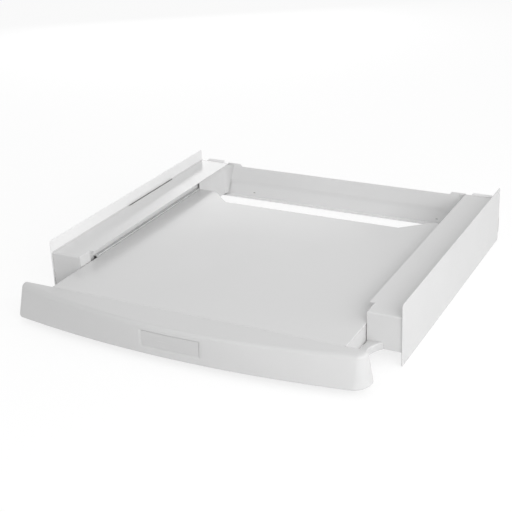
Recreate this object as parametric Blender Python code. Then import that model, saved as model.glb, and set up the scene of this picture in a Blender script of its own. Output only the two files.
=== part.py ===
"""Washer dryer stacking kit: two folded side rails, a rear crossmember and a shelf on ball runners.

Metres, +Z up, +X to the right, the front towards -Y. The origin is at the centre of the outer
box in plan, on the plane of the side walls' lower edges. Depths are counted from the walls' front
edges, heights from the top of the seat plates, and both turn into world places in two functions.
Every paired piece is worked out for the right side and mirrored by the sign of its side.
"""
import math

import bmesh
import bpy
from mathutils import Matrix, Vector

# Overall sizes
OVERALL_WIDTH = 0.600
RAIL_DEPTH = 0.495
CHANNEL_HEIGHT = 0.055
CHANNEL_WIDTH = 0.054
WALL_ABOVE_SEAT = 0.021
WALL_BELOW_BASE = 0.022
BOW_REACH = 0.1256

# Fits and cuts
SEAT_GAP = 0.0003
OVERRUN = 0.002

# Folded sheet
FRAME_SHEET = 0.0012
SHELF_SHEET = 0.0010
BEND_RADIUS = 0.0018
BEND_STEPS = 3

# Side wall
WALL_THICKNESS = 0.0012
WALL_CORNER_RADIUS = 0.004
CORNER_STEPS = 4

# Top channel, with its relief slot along the fold at the wall
FACE_SETBACK = 0.0025
LIP_WIDTH = 0.0075
NOTCH_DEPTH = 0.030
TAB_HEIGHT = 0.0145
SIDE_FLANGE_HEIGHT = 0.014
REAR_FLANGE_HEIGHT = 0.020
FOLD_SLOT_START = 0.2265
FOLD_SLOT_LENGTH = 0.150
FOLD_SLOT_WIDTH = 0.003
FOLD_SLOT_DROP = 0.003

# Base plate
BASE_REACH = 0.015
BASE_LIP_HEIGHT = 0.006

# Runner bracket
BRACKET_START = 0.036
BRACKET_FLANGE = 0.012
BRACKET_REAR_CLEARANCE = 0.003

# Rear crossmember
CROSS_TOP_DROP = 0.0037
CROSS_FREE_TOP_INSET = 0.091
CROSS_END_RISE = 0.0012
CROSS_SLOPE_RUN = 0.004
CROSS_TAB_RISE = 0.005
CROSS_TAB_INSET = 0.015
CROSS_TAB_WIDTH = 0.034
CROSS_TAB_SLOPE_RUN = 0.002
CROSS_BOTTOM_DROP = 0.0665
CROSS_JOGGLE_DROP = 0.036
CROSS_JOGGLE_HEIGHT = 0.004
CROSS_JOGGLE_DEPTH = 0.0025
CROSS_FLANGE_DEPTH = 0.008

# Rubber pads under the base plates
PAD_LENGTH = 0.040
PAD_WIDTH = 0.030
PAD_THICKNESS = 0.003
PAD_INSET = 0.045
PAD_EDGE_RADIUS = 0.001
PAD_CORNER_RADIUS = 0.005

# Ball runner
RUNNER_LENGTH = 0.340
RUNNER_START = 0.050
RUNNER_CENTRE_DROP = 0.034
RUNNER_HEIGHT = 0.035
RUNNER_WIDTH = 0.0127
RUNNER_SHEET = 0.0012
RUNNER_CORNER_RADIUS = 0.0025
RUNNER_STEP_DROP = 0.0011
RUNNER_STEP_OFFSET = 0.0063
INNER_DEPTH = 0.005
INNER_CORNER_RADIUS = 0.0015
BALL_RADIUS = 0.00175
BALL_CLEARANCE = 0.0003
BALL_OFFSET = 0.0033
RACE_STEPS = 4
RACE_WRAP_ANGLE = math.radians(60)
RACE_SHOULDER_ANGLE = math.radians(30)
GROOVE_HALF_ANGLE = math.radians(30)
SHELF_TRAVEL = 0.250
CAGE_END_CLEARANCE = 0.001
CAGE_SHEET = 0.0008
CAGE_WEB_OFFSET = 0.0078
CAGE_FLANGE_TIP = 0.0016
CAGE_CORNER_RADIUS = 0.0015
BALLS_PER_ROW = 7
BALL_SEGMENTS = 10
BALL_RINGS = 7
STOP_THICKNESS = 0.005
STOP_HEIGHT = 0.020
STOP_EDGE_RADIUS = 0.001

# Shelf panel
SHELF_DROP = 0.018
SHELF_SIDE_GAP = 0.006
SHELF_FLANGE_HEIGHT = 0.032
SHELF_FRONT_FLANGE = 0.030
SHELF_REAR_FLANGE = 0.010
SHELF_EAR_SHORTFALL = 0.002
SHELF_EAR_WIDTH = 0.035
SHELF_CUT_DEPTH = 0.038
SHELF_CUT_RUN = 0.050

# Shelf stiffeners, top-hat sections across the underside
STIFFENER_END_GAP = 0.035
STIFFENER_HEIGHT = 0.015
STIFFENER_CROWN = 0.030
STIFFENER_BRIM = 0.012
STIFFENER_PLACES = (0.075, 0.225)

# Front moulding: a hollow shell that bows out to the front and leans back towards its ends
MOULDING_DEPTH = 0.0526
MOULDING_DROP = 0.066
MOULDING_WALL = 0.0025
MOULDING_SIDE_GAP = 0.009
BOTTOM_BOW_RISE = 0.02266
BOTTOM_CORNER_RADIUS = 0.016
BOTTOM_EDGE_RADIUS = 0.0015
CREASE_DROP = 0.024
CREASE_INSET = 0.003
CREASE_SETBACK = 0.0011
CREASE_BOW_RISE = 0.03342
CREASE_CORNER_RADIUS = 0.014
TOP_ROUND_CENTRE = 0.005
TOP_ROUND_CORNER = 0.014
TOP_ROUND_END = 0.005
BOW_STEPS = 12
MOULDING_CORNER_STEPS = 5
END_STEPS = 2
FACE_LEVEL_SHARES = (1 / 3, 2 / 3)
TOP_ROUND_STEPS = 3

# Ribs and screw bosses inside the moulding
RIB_THICKNESS = 0.002
RIB_PLACE_SHARES = (0.206, 0.412, 0.619, 0.808)
RIB_BOTTOM_CLEARANCE = 0.008
BOSS_RADIUS = 0.0045
BOSS_LENGTH = 0.014
BOSS_STEPS = 16

# Arms of the moulding, which run back beside the shelf and stop on the channels' front faces
ARM_BOTTOM_DROP = 0.0555
ARM_HEIGHT = 0.0115
ARM_INNER_FALL = 0.006
ARM_FLANGE_GAP = 0.0015
ARM_STOP_WIDTH = 0.0247
ARM_WAIST_OFFSET = 0.010
ARM_WAIST_SHARE = 0.45
ARM_ROOT_WIDTH = 0.034
ARM_WALL = 0.0022
ARM_ROOT_CLEARANCE = 0.001
ARM_STEPS = 10

# Blank inlay on the moulding's front face
INLAY_WIDTH = 0.097
INLAY_HEIGHT = 0.030
INLAY_TOP_DROP = 0.0295
INLAY_RECESS = 0.0008
INLAY_THICKNESS = 0.0005
INLAY_STEPS = 4

# Screws
SCREW_RADIUS = 0.0019
SCREW_HEAD_RADIUS = 0.0038
SCREW_HEAD_HEIGHT = 0.0020
SCREW_HEAD_ROUND = 0.0008
SCREW_STEPS = 12
SCREW_BITE = 0.008
RUNNER_SCREW_INSET = 0.045
RUNNER_SCREW_BITE = 0.002
CROSS_SCREW_FROM_WALL = 0.038
CROSS_SCREW_UPPER_DROP = 0.012
CROSS_SCREW_LOWER_RISE = 0.012
MOULDING_SCREW_DROP = 0.033
MOULDING_SCREW_SHARES = (-0.687, -0.309, 0.309, 0.687)

# Places worked out from the sizes above
HALF_WIDTH = OVERALL_WIDTH / 2
CROSS_FRONT = RAIL_DEPTH + SEAT_GAP
CROSS_LOWER_FRONT = CROSS_FRONT + CROSS_JOGGLE_DEPTH
REARMOST = CROSS_LOWER_FRONT + FRAME_SHEET + SEAT_GAP + SCREW_HEAD_HEIGHT
WALL_FRONT_Y = (BOW_REACH - REARMOST) / 2
SEAT_Z = WALL_BELOW_BASE + CHANNEL_HEIGHT
CHANNEL_OUTER_X = HALF_WIDTH - WALL_THICKNESS - SEAT_GAP
FACE_INNER_X = HALF_WIDTH - CHANNEL_WIDTH
LIP_X = FACE_INNER_X - LIP_WIDTH
BASE_INNER_X = FACE_INNER_X - BASE_REACH
NOTCH_END = FACE_SETBACK + NOTCH_DEPTH
SHELF_HALF_WIDTH = FACE_INNER_X - SHELF_SIDE_GAP
RUNNER_BACK_X = SHELF_HALF_WIDTH + SEAT_GAP
WEB_X = RUNNER_BACK_X + RUNNER_WIDTH + SEAT_GAP
INNER_LENGTH = RUNNER_LENGTH - STOP_THICKNESS - SEAT_GAP
RUNNER_END = RUNNER_START + RUNNER_LENGTH
SHELF_EAR_END = RUNNER_END - SHELF_EAR_SHORTFALL
SHELF_REAR_EDGE = SHELF_EAR_END - SHELF_CUT_DEPTH
MOULDING_REAR = BOW_REACH - MOULDING_DEPTH
CREASE_REACH = BOW_REACH - CREASE_SETBACK
RACE_RADIUS = BALL_RADIUS + BALL_CLEARANCE
RACE_OUTER_RADIUS = RACE_RADIUS + RUNNER_SHEET
BALL_HEIGHT = RUNNER_HEIGHT / 2 - RUNNER_STEP_DROP - RACE_OUTER_RADIUS
CAGE_REAR = RUNNER_START + INNER_LENGTH - SHELF_TRAVEL / 2 - CAGE_END_CLEARANCE
CAGE_LENGTH = CAGE_REAR - RUNNER_START - SHELF_TRAVEL / 2 - CAGE_END_CLEARANCE
SHELF_UNDERSIDE_DROP = SHELF_DROP + SHELF_SHEET
SCREW_HOLE_RADIUS = SCREW_RADIUS + SEAT_GAP
CROSS_TOP_FREE_HALF = HALF_WIDTH - CROSS_FREE_TOP_INSET
CROSS_TAB_END = HALF_WIDTH - CROSS_TAB_INSET
CROSS_TAB_START = CROSS_TAB_END - CROSS_TAB_WIDTH
SHELF_EAR_INNER = SHELF_HALF_WIDTH - SHELF_EAR_WIDTH
SHELF_REAR_HALF = SHELF_EAR_INNER - SHELF_CUT_RUN
STIFFENER_HALF_LENGTH = SHELF_HALF_WIDTH - STIFFENER_END_GAP
BOTTOM_HALF_WIDTH = HALF_WIDTH - MOULDING_SIDE_GAP
CREASE_HALF_WIDTH = BOTTOM_HALF_WIDTH - CREASE_INSET
BOTTOM_BOW_HALF = BOTTOM_HALF_WIDTH - BOTTOM_CORNER_RADIUS
CREASE_BOW_HALF = CREASE_HALF_WIDTH - CREASE_CORNER_RADIUS
BOTTOM_BOW_RADIUS = (BOTTOM_BOW_HALF ** 2 + BOTTOM_BOW_RISE ** 2) / (2 * BOTTOM_BOW_RISE)
CREASE_BOW_RADIUS = (CREASE_BOW_HALF ** 2 + CREASE_BOW_RISE ** 2) / (2 * CREASE_BOW_RISE)
MOULDING_SCREW_PLACES = tuple(share * BOTTOM_HALF_WIDTH for share in MOULDING_SCREW_SHARES)

SIDES = {"left": -1, "right": 1}


def at_depth(depth):
    """World Y of a depth counted back from the walls' front edges."""
    return WALL_FRONT_Y + depth


def at_drop(drop):
    """World Z of a drop counted down from the top of the seat plates."""
    return SEAT_Z - drop


def finish(name, colour, roughness, metallic):
    """A plain surface of one colour."""
    material = bpy.data.materials.new(name)
    material.use_nodes = True
    shader = material.node_tree.nodes["Principled BSDF"]
    shader.inputs["Base Color"].default_value = (*colour, 1)
    shader.inputs["Roughness"].default_value = roughness
    shader.inputs["Metallic"].default_value = metallic
    return material


def new_object(name, bm, material):
    """Turns a bmesh into an object that carries one material."""
    mesh = bpy.data.meshes.new(name)
    bm.to_mesh(mesh)
    bm.free()
    mesh.materials.append(material)
    made = bpy.data.objects.new(name, mesh)
    bpy.context.scene.collection.objects.link(made)
    return made


def smooth(made, angle=math.radians(35)):
    """Shades round stretches smooth and keeps real edges sharp."""
    made.data.shade_smooth()
    made.data.set_sharp_from_angle(angle=angle)


def add_panel(bm, corners, side=1):
    """One flat panel of a folded sheet; a mirrored panel is wound the other way round."""
    verts = [bm.verts.new((side * x, y, z)) for x, y, z in corners]
    bm.faces.new(verts if side > 0 else verts[::-1])
    return verts


def add_flange(bm, start, end, outward, turn, length, radius=BEND_RADIUS, grow=(0, 0)):
    """Folds a flange off the panel edge from start to end: a bend of a quarter circle, then a flat.

    outward points away from the panel in its plane, turn points the way the flange ends up, and
    grow lets the flange widen at its two ends along the bend, to close a corner.
    """
    outward = Vector(outward)
    turn = Vector(turn)
    along = (end.co - start.co).normalized()
    inward_face = [face for face in start.link_faces if end in face.verts][0]
    loops = list(inward_face.verts)
    follows = loops[(loops.index(start) + 1) % len(loops)] is end
    rows = [(start, end)]
    places = [(math.sin(a) * radius, (1 - math.cos(a)) * radius, math.sin(a))
              for a in (math.pi / 2 * k / BEND_STEPS for k in range(1, BEND_STEPS + 1))]
    places.append((radius, length, 1))
    for forward, fall, widened in places:
        shift = outward * forward + turn * fall
        first = bm.verts.new(start.co + shift - along * grow[0] * widened)
        last = bm.verts.new(end.co + shift + along * grow[1] * widened)
        rows.append((first, last))
    for (a, b), (c, d) in zip(rows, rows[1:]):
        bm.faces.new((b, a, c, d) if follows else (a, b, d, c))


def thicken(made, thickness):
    """Gives a surface its thickness, behind its outward side."""
    solid = made.modifiers.new("thickness", "SOLIDIFY")
    solid.thickness = thickness
    solid.offset = -1
    solid.use_even_offset = True
    return made


def round_path(points, radii, steps):
    """A path through points whose inner corners are rounded by the given radii."""
    path = [Vector(points[0])]
    for before, corner, after, radius in zip(points, points[1:], points[2:], radii):
        before, corner, after = Vector(before), Vector(corner), Vector(after)
        if radius == 0:
            path.append(corner)
            continue
        to_before = (before - corner).normalized()
        to_after = (after - corner).normalized()
        half = to_before.angle(to_after) / 2
        centre = corner + (to_before + to_after).normalized() * radius / math.sin(half)
        first = corner + to_before * radius / math.tan(half) - centre
        last = corner + to_after * radius / math.tan(half) - centre
        for k in range(steps + 1):
            path.append(centre + first.slerp(last, k / steps) * first.length)
    path.append(Vector(points[-1]))
    return path


def swept_sheet(name, path, place, start, end, thickness, material):
    """A sheet section carried straight from start to end.

    path is the section's outer side and place turns a path point and a distance into the world.
    """
    bm = bmesh.new()
    first = [bm.verts.new(place(point, start)) for point in path]
    last = [bm.verts.new(place(point, end)) for point in path]
    for a, b, c, d in zip(first, first[1:], last[1:], last):
        bm.faces.new((a, b, c, d))
    made = thicken(new_object(name, bm, material), thickness)
    smooth(made)
    return made


def prism(bm, outline, start, end, place):
    """A closed solid between two copies of an outline; its faces end up pointing out."""
    first = [bm.verts.new(place(point, start)) for point in outline]
    last = [bm.verts.new(place(point, end)) for point in outline]
    faces = [bm.faces.new(first[::-1]), bm.faces.new(last)]
    for k in range(len(outline)):
        n = (k + 1) % len(outline)
        faces.append(bm.faces.new((first[k], first[n], last[n], last[k])))
    bmesh.ops.recalc_face_normals(bm, faces=faces)


def box(bm, low, high):
    """A box between two corners."""
    low, high = Vector(low), Vector(high)
    size = Matrix.Diagonal((*(abs(b - a) for a, b in zip(low, high)), 1))
    bmesh.ops.create_cube(bm, size=1, matrix=Matrix.Translation((low + high) / 2) @ size)


def rod(bm, start, end, radius, steps):
    """A round bar from start to end."""
    start, end = Vector(start), Vector(end)
    turn = (end - start).to_track_quat("Z", "Y").to_matrix().to_4x4()
    bmesh.ops.create_cone(bm, cap_ends=True, segments=steps, radius1=radius, radius2=radius,
                          depth=(end - start).length,
                          matrix=Matrix.Translation((start + end) / 2) @ turn)


def boolean(made, operand, operation):
    """Cuts or joins with a hidden helper solid."""
    operand.hide_render = True
    operand.display_type = "WIRE"
    step = made.modifiers.new(operand.name, "BOOLEAN")
    step.operation = operation
    step.object = operand


def rounded_rectangle(low, high, radius, steps):
    """Outline of a rectangle with round corners, as pairs, anticlockwise."""
    corners = ((high[0], low[1], -90), (high[0], high[1], 0), (low[0], high[1], 90), (low[0], low[1], 180))
    points = []
    for a, b, first_angle in corners:
        centre = (a - math.copysign(radius, a - (low[0] + high[0]) / 2),
                  b - math.copysign(radius, b - (low[1] + high[1]) / 2))
        for k in range(steps + 1):
            angle = math.radians(first_angle + 90 * k / steps)
            points.append((centre[0] + radius * math.cos(angle), centre[1] + radius * math.sin(angle)))
    return points


def side_wall(label, side, material):
    """The tall plain outer sheet, with small round corners."""
    outline = rounded_rectangle((at_depth(0), 0), (at_depth(RAIL_DEPTH), SEAT_Z + WALL_ABOVE_SEAT),
                                WALL_CORNER_RADIUS, CORNER_STEPS)
    bm = bmesh.new()
    add_panel(bm, [(HALF_WIDTH, y, z) for y, z in outline], side)
    thicken(new_object(label + "_side_wall", bm, material), WALL_THICKNESS)


def top_channel(label, side, material):
    """Seat plate with its lip and front notch, folded down at the front, outside, rear and notch."""
    r = BEND_RADIUS
    inner = FACE_INNER_X + r
    outer = CHANNEL_OUTER_X - r
    front = at_depth(FACE_SETBACK) + r
    rear = at_depth(RAIL_DEPTH) - r
    notch = at_depth(NOTCH_END)
    bm = bmesh.new()
    corners = [(inner, front), (outer, front), (outer, rear), (LIP_X, rear), (LIP_X, notch), (inner, notch)]
    a, b, c, d, e, f = add_panel(bm, [(x, y, SEAT_Z) for x, y in corners], side)
    down = (0, 0, -1)
    add_flange(bm, a, b, (0, -1, 0), down, CHANNEL_HEIGHT, grow=(r, r))
    add_flange(bm, b, c, (side, 0, 0), down, SIDE_FLANGE_HEIGHT)
    add_flange(bm, c, d, (0, 1, 0), down, REAR_FLANGE_HEIGHT)
    add_flange(bm, f, a, (-side, 0, 0), down, TAB_HEIGHT)
    made = thicken(new_object(label + "_top_channel", bm, material), FRAME_SHEET)
    slot = bmesh.new()
    slot_start = at_depth(FOLD_SLOT_START)
    box(slot, (side * (CHANNEL_OUTER_X - FOLD_SLOT_WIDTH), slot_start, SEAT_Z - FOLD_SLOT_DROP),
        (side * (CHANNEL_OUTER_X + OVERRUN), slot_start + FOLD_SLOT_LENGTH, SEAT_Z + OVERRUN))
    boolean(made, new_object(label + "_fold_slot_cut", slot, material), "DIFFERENCE")
    holes = bmesh.new()
    rod(holes, cross_screw_place(side, CROSS_SCREW_UPPER_DROP, RAIL_DEPTH - OVERRUN),
        cross_screw_place(side, CROSS_SCREW_UPPER_DROP, RAIL_DEPTH + OVERRUN), SCREW_HOLE_RADIUS, SCREW_STEPS)
    boolean(made, new_object(label + "_top_channel_hole_cut", holes, material), "DIFFERENCE")


def base_plate(label, side, material):
    """Flange that lies on the washer, turned up along the wall, at the rear and along its inner edge."""
    r = BEND_RADIUS
    inner = BASE_INNER_X + r
    outer = CHANNEL_OUTER_X - r
    front = at_depth(FACE_SETBACK) + FRAME_SHEET + SEAT_GAP
    rear = at_depth(RAIL_DEPTH) - r
    bm = bmesh.new()
    corners = [(inner, rear), (outer, rear), (outer, front), (inner, front)]
    a, b, c, d = add_panel(bm, [(x, y, WALL_BELOW_BASE) for x, y in corners], side)
    up = (0, 0, 1)
    add_flange(bm, a, b, (0, 1, 0), up, REAR_FLANGE_HEIGHT)
    add_flange(bm, b, c, (side, 0, 0), up, SIDE_FLANGE_HEIGHT)
    add_flange(bm, d, a, (-side, 0, 0), up, BASE_LIP_HEIGHT)
    made = thicken(new_object(label + "_base_plate", bm, material), FRAME_SHEET)
    drop = CHANNEL_HEIGHT - CROSS_SCREW_LOWER_RISE
    holes = bmesh.new()
    rod(holes, cross_screw_place(side, drop, RAIL_DEPTH - OVERRUN),
        cross_screw_place(side, drop, RAIL_DEPTH + OVERRUN), SCREW_HOLE_RADIUS, SCREW_STEPS)
    boolean(made, new_object(label + "_base_plate_hole_cut", holes, material), "DIFFERENCE")


def runner_screw_depths():
    """Depths of the two screws at each side that hold a runner's outer member."""
    return {"front": RUNNER_START + RUNNER_SCREW_INSET, "rear": RUNNER_END - RUNNER_SCREW_INSET}


def runner_bracket(label, side, material):
    """C-section web that carries the runner and props the seat plate on the base plate."""
    r = BEND_RADIUS
    low = WALL_BELOW_BASE + FRAME_SHEET + SEAT_GAP + r
    high = SEAT_Z - FRAME_SHEET - SEAT_GAP - r
    front = at_depth(BRACKET_START)
    rear = at_depth(RAIL_DEPTH - FRAME_SHEET - BRACKET_REAR_CLEARANCE)
    bm = bmesh.new()
    corners = [(front, low), (front, high), (rear, high), (rear, low)]
    a, b, c, d = add_panel(bm, [(WEB_X, y, z) for y, z in corners], side)
    add_flange(bm, b, c, (0, 0, 1), (side, 0, 0), BRACKET_FLANGE)
    add_flange(bm, d, a, (0, 0, -1), (side, 0, 0), BRACKET_FLANGE)
    made = thicken(new_object(label + "_runner_bracket", bm, material), FRAME_SHEET)
    holes = bmesh.new()
    for depth in runner_screw_depths().values():
        place = (at_depth(depth), at_drop(RUNNER_CENTRE_DROP))
        rod(holes, (side * (WEB_X - OVERRUN), *place), (side * (WEB_X + FRAME_SHEET + OVERRUN), *place),
            SCREW_HOLE_RADIUS, SCREW_STEPS)
    boolean(made, new_object(label + "_runner_bracket_hole_cut", holes, material), "DIFFERENCE")


def cross_screw_place(side, drop, depth):
    """A point on the axis of a crossmember screw."""
    return (side * (HALF_WIDTH - CROSS_SCREW_FROM_WALL), at_depth(depth), at_drop(drop))


def cross_screws():
    """The four crossmember screws: name, side, drop and the depth of the plate that each one clamps."""
    lower = CHANNEL_HEIGHT - CROSS_SCREW_LOWER_RISE
    for label, side in SIDES.items():
        yield label + "_upper", side, CROSS_SCREW_UPPER_DROP, CROSS_FRONT
        yield label + "_lower", side, lower, CROSS_LOWER_FRONT


def crossmember(material):
    """Rear plate with a stepped top edge, a joggle along its middle and a foot turned to the front."""
    low_top = at_drop(CROSS_TOP_DROP)
    end_top = SEAT_Z + CROSS_END_RISE
    tab_top = SEAT_Z + CROSS_TAB_RISE
    half_edge = [(HALF_WIDTH, end_top), (CROSS_TAB_END + CROSS_TAB_SLOPE_RUN, end_top),
                 (CROSS_TAB_END, tab_top), (CROSS_TAB_START, tab_top),
                 (CROSS_TAB_START - CROSS_TAB_SLOPE_RUN, end_top),
                 (CROSS_TOP_FREE_HALF + CROSS_SLOPE_RUN, end_top), (CROSS_TOP_FREE_HALF, low_top)]
    top_edge = half_edge + [(-x, z) for x, z in half_edge[::-1]]
    joggle_top = at_drop(CROSS_JOGGLE_DROP)
    joggle_bottom = joggle_top - CROSS_JOGGLE_HEIGHT
    bottom = at_drop(CROSS_BOTTOM_DROP) + FRAME_SHEET + BEND_RADIUS
    upper_y = at_depth(CROSS_FRONT)
    lower_y = at_depth(CROSS_LOWER_FRONT)
    bm = bmesh.new()
    upper = [bm.verts.new((x, upper_y, z)) for x, z in top_edge]
    rows = [[bm.verts.new((x, y, z)) for x in (-HALF_WIDTH, HALF_WIDTH)]
            for y, z in ((upper_y, joggle_top), (lower_y, joggle_bottom))]
    foot = [bm.verts.new((x, lower_y, bottom))
            for x in (-HALF_WIDTH, -CHANNEL_OUTER_X, CHANNEL_OUTER_X, HALF_WIDTH)]
    bm.faces.new([*rows[0], *upper])
    bm.faces.new([*rows[1], *rows[0][::-1]])
    bm.faces.new([*foot, *rows[1][::-1]])
    add_flange(bm, foot[1], foot[2], (0, 0, -1), (0, -1, 0), CROSS_FLANGE_DEPTH)
    made = thicken(new_object("rear_crossmember", bm, material), FRAME_SHEET)
    holes = bmesh.new()
    for _, side, drop, front in cross_screws():
        rod(holes, cross_screw_place(side, drop, front - OVERRUN),
            cross_screw_place(side, drop, front + FRAME_SHEET + OVERRUN), SCREW_HOLE_RADIUS, SCREW_STEPS)
    boolean(made, new_object("crossmember_hole_cut", holes, material), "DIFFERENCE")


def rubber_pad(name, side, depth, material):
    """Flat rubber pad under a base plate, with round corners and softened edges."""
    centre = (side * (BASE_INNER_X + CHANNEL_OUTER_X) / 2, at_depth(depth))
    outline = rounded_rectangle((centre[0] - PAD_WIDTH / 2, centre[1] - PAD_LENGTH / 2),
                                (centre[0] + PAD_WIDTH / 2, centre[1] + PAD_LENGTH / 2),
                                PAD_CORNER_RADIUS, CORNER_STEPS)
    top = WALL_BELOW_BASE - SEAT_GAP
    bm = bmesh.new()
    prism(bm, outline, top - PAD_THICKNESS, top, lambda point, z: (point[0], point[1], z))
    made = new_object(name, bm, material)
    edge = made.modifiers.new("edge", "BEVEL")
    edge.width = PAD_EDGE_RADIUS
    edge.segments = 1
    edge.limit_method = "ANGLE"
    edge.angle_limit = math.radians(60)
    smooth(made)


def runner_place(side):
    """Turns an offset from the shelf's flange, a height from the runner's middle and a Y into the world."""
    return lambda point, y: (side * (RUNNER_BACK_X + point[0]), y, at_drop(RUNNER_CENTRE_DROP) + point[1])


def arc(centre, radius, first, last, steps):
    """Points along an arc, angles in radians."""
    return [(centre[0] + radius * math.cos(first + (last - first) * k / steps),
             centre[1] + radius * math.sin(first + (last - first) * k / steps)) for k in range(steps + 1)]


def mirrored_path(upper):
    """Completes a section path, given from its free edge to its middle, with its lower half."""
    return upper + [(u, -w) for u, w in upper[::-1]]


def outer_member(label, side, material):
    """Runner's fixed member: its flanges step down and wrap round the two rows of balls."""
    top = RUNNER_HEIGHT / 2
    right_angle = math.pi / 2
    race = arc((BALL_OFFSET, BALL_HEIGHT), RACE_OUTER_RADIUS, right_angle + RACE_WRAP_ANGLE,
               right_angle - RACE_SHOULDER_ANGLE, RACE_STEPS)
    back = round_path([(RUNNER_STEP_OFFSET, top), (RUNNER_WIDTH, top), (RUNNER_WIDTH, 0)],
                      [RUNNER_CORNER_RADIUS], BEND_STEPS)
    path = mirrored_path(race + [tuple(point) for point in back[:-1]])
    if side < 0:
        path = path[::-1]
    made = swept_sheet(label + "_runner_outer", path, runner_place(side), at_depth(RUNNER_START),
                       at_depth(RUNNER_END), RUNNER_SHEET, material)
    holes = bmesh.new()
    for depth in runner_screw_depths().values():
        place = (at_depth(depth), at_drop(RUNNER_CENTRE_DROP))
        rod(holes, (side * (RUNNER_BACK_X + RUNNER_WIDTH - RUNNER_SHEET - OVERRUN), *place),
            (side * (RUNNER_BACK_X + RUNNER_WIDTH + OVERRUN), *place), SCREW_HOLE_RADIUS, SCREW_STEPS)
    boolean(made, new_object(label + "_runner_outer_hole_cut", holes, material), "DIFFERENCE")


def inner_member(label, side, material):
    """Runner's moving member: a shallow channel whose flanges are grooved for the balls."""
    rim = BALL_HEIGHT - RACE_RADIUS * math.cos(GROOVE_HALF_ANGLE)
    down = -math.pi / 2
    groove = arc((BALL_OFFSET, BALL_HEIGHT), RACE_RADIUS, down + GROOVE_HALF_ANGLE, down - GROOVE_HALF_ANGLE,
                 RACE_STEPS)
    back = round_path([groove[-1], (0, rim), (0, 0)], [INNER_CORNER_RADIUS], BEND_STEPS)
    path = mirrored_path([(INNER_DEPTH, rim)] + groove + [tuple(point) for point in back[1:-1]])
    if side > 0:
        path = path[::-1]
    made = swept_sheet(label + "_runner_inner", path, runner_place(side), at_depth(RUNNER_START),
                       at_depth(RUNNER_START + INNER_LENGTH), RUNNER_SHEET, material)
    holes = bmesh.new()
    for depth in runner_screw_depths().values():
        place = (at_depth(depth), at_drop(RUNNER_CENTRE_DROP))
        rod(holes, (side * (RUNNER_BACK_X - OVERRUN), *place),
            (side * (RUNNER_BACK_X + RUNNER_SHEET + OVERRUN), *place), SCREW_HOLE_RADIUS, SCREW_STEPS)
    boolean(made, new_object(label + "_runner_inner_hole_cut", holes, material), "DIFFERENCE")


def ball_cage(label, side, material):
    """Channel-shaped strip that keeps two rows of balls apart; the balls stand out on both sides of it."""
    high = BALL_HEIGHT + CAGE_SHEET / 2
    corner = round_path([(CAGE_FLANGE_TIP, high), (CAGE_WEB_OFFSET, high), (CAGE_WEB_OFFSET, 0)],
                        [CAGE_CORNER_RADIUS], BEND_STEPS)
    path = mirrored_path([tuple(point) for point in corner[:-1]])
    if side < 0:
        path = path[::-1]
    start = CAGE_REAR - CAGE_LENGTH
    made = swept_sheet(label + "_ball_cage", path, runner_place(side), at_depth(start), at_depth(CAGE_REAR),
                       CAGE_SHEET, material)
    place = runner_place(side)
    balls = bmesh.new()
    pitch = CAGE_LENGTH / BALLS_PER_ROW
    for row in (-1, 1):
        for k in range(BALLS_PER_ROW):
            centre = place((BALL_OFFSET, row * BALL_HEIGHT), at_depth(start + pitch * (k + 1 / 2)))
            bmesh.ops.create_uvsphere(balls, u_segments=BALL_SEGMENTS, v_segments=BALL_RINGS,
                                      radius=BALL_RADIUS, matrix=Matrix.Translation(centre))
    boolean(made, new_object(label + "_cage_balls", balls, material), "UNION")


def runner_stop(label, side, material):
    """Rubber block in the rear end of the fixed member, where the moving member comes to rest."""
    place = runner_place(side)
    low = place((RUNNER_SHEET, -STOP_HEIGHT / 2), at_depth(RUNNER_END - STOP_THICKNESS))
    high = place((RUNNER_WIDTH - RUNNER_SHEET - SEAT_GAP, STOP_HEIGHT / 2), at_depth(RUNNER_END))
    bm = bmesh.new()
    box(bm, low, high)
    made = new_object(label + "_runner_stop", bm, material)
    edge = made.modifiers.new("edge", "BEVEL")
    edge.width = STOP_EDGE_RADIUS
    edge.segments = 2
    smooth(made)


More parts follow.
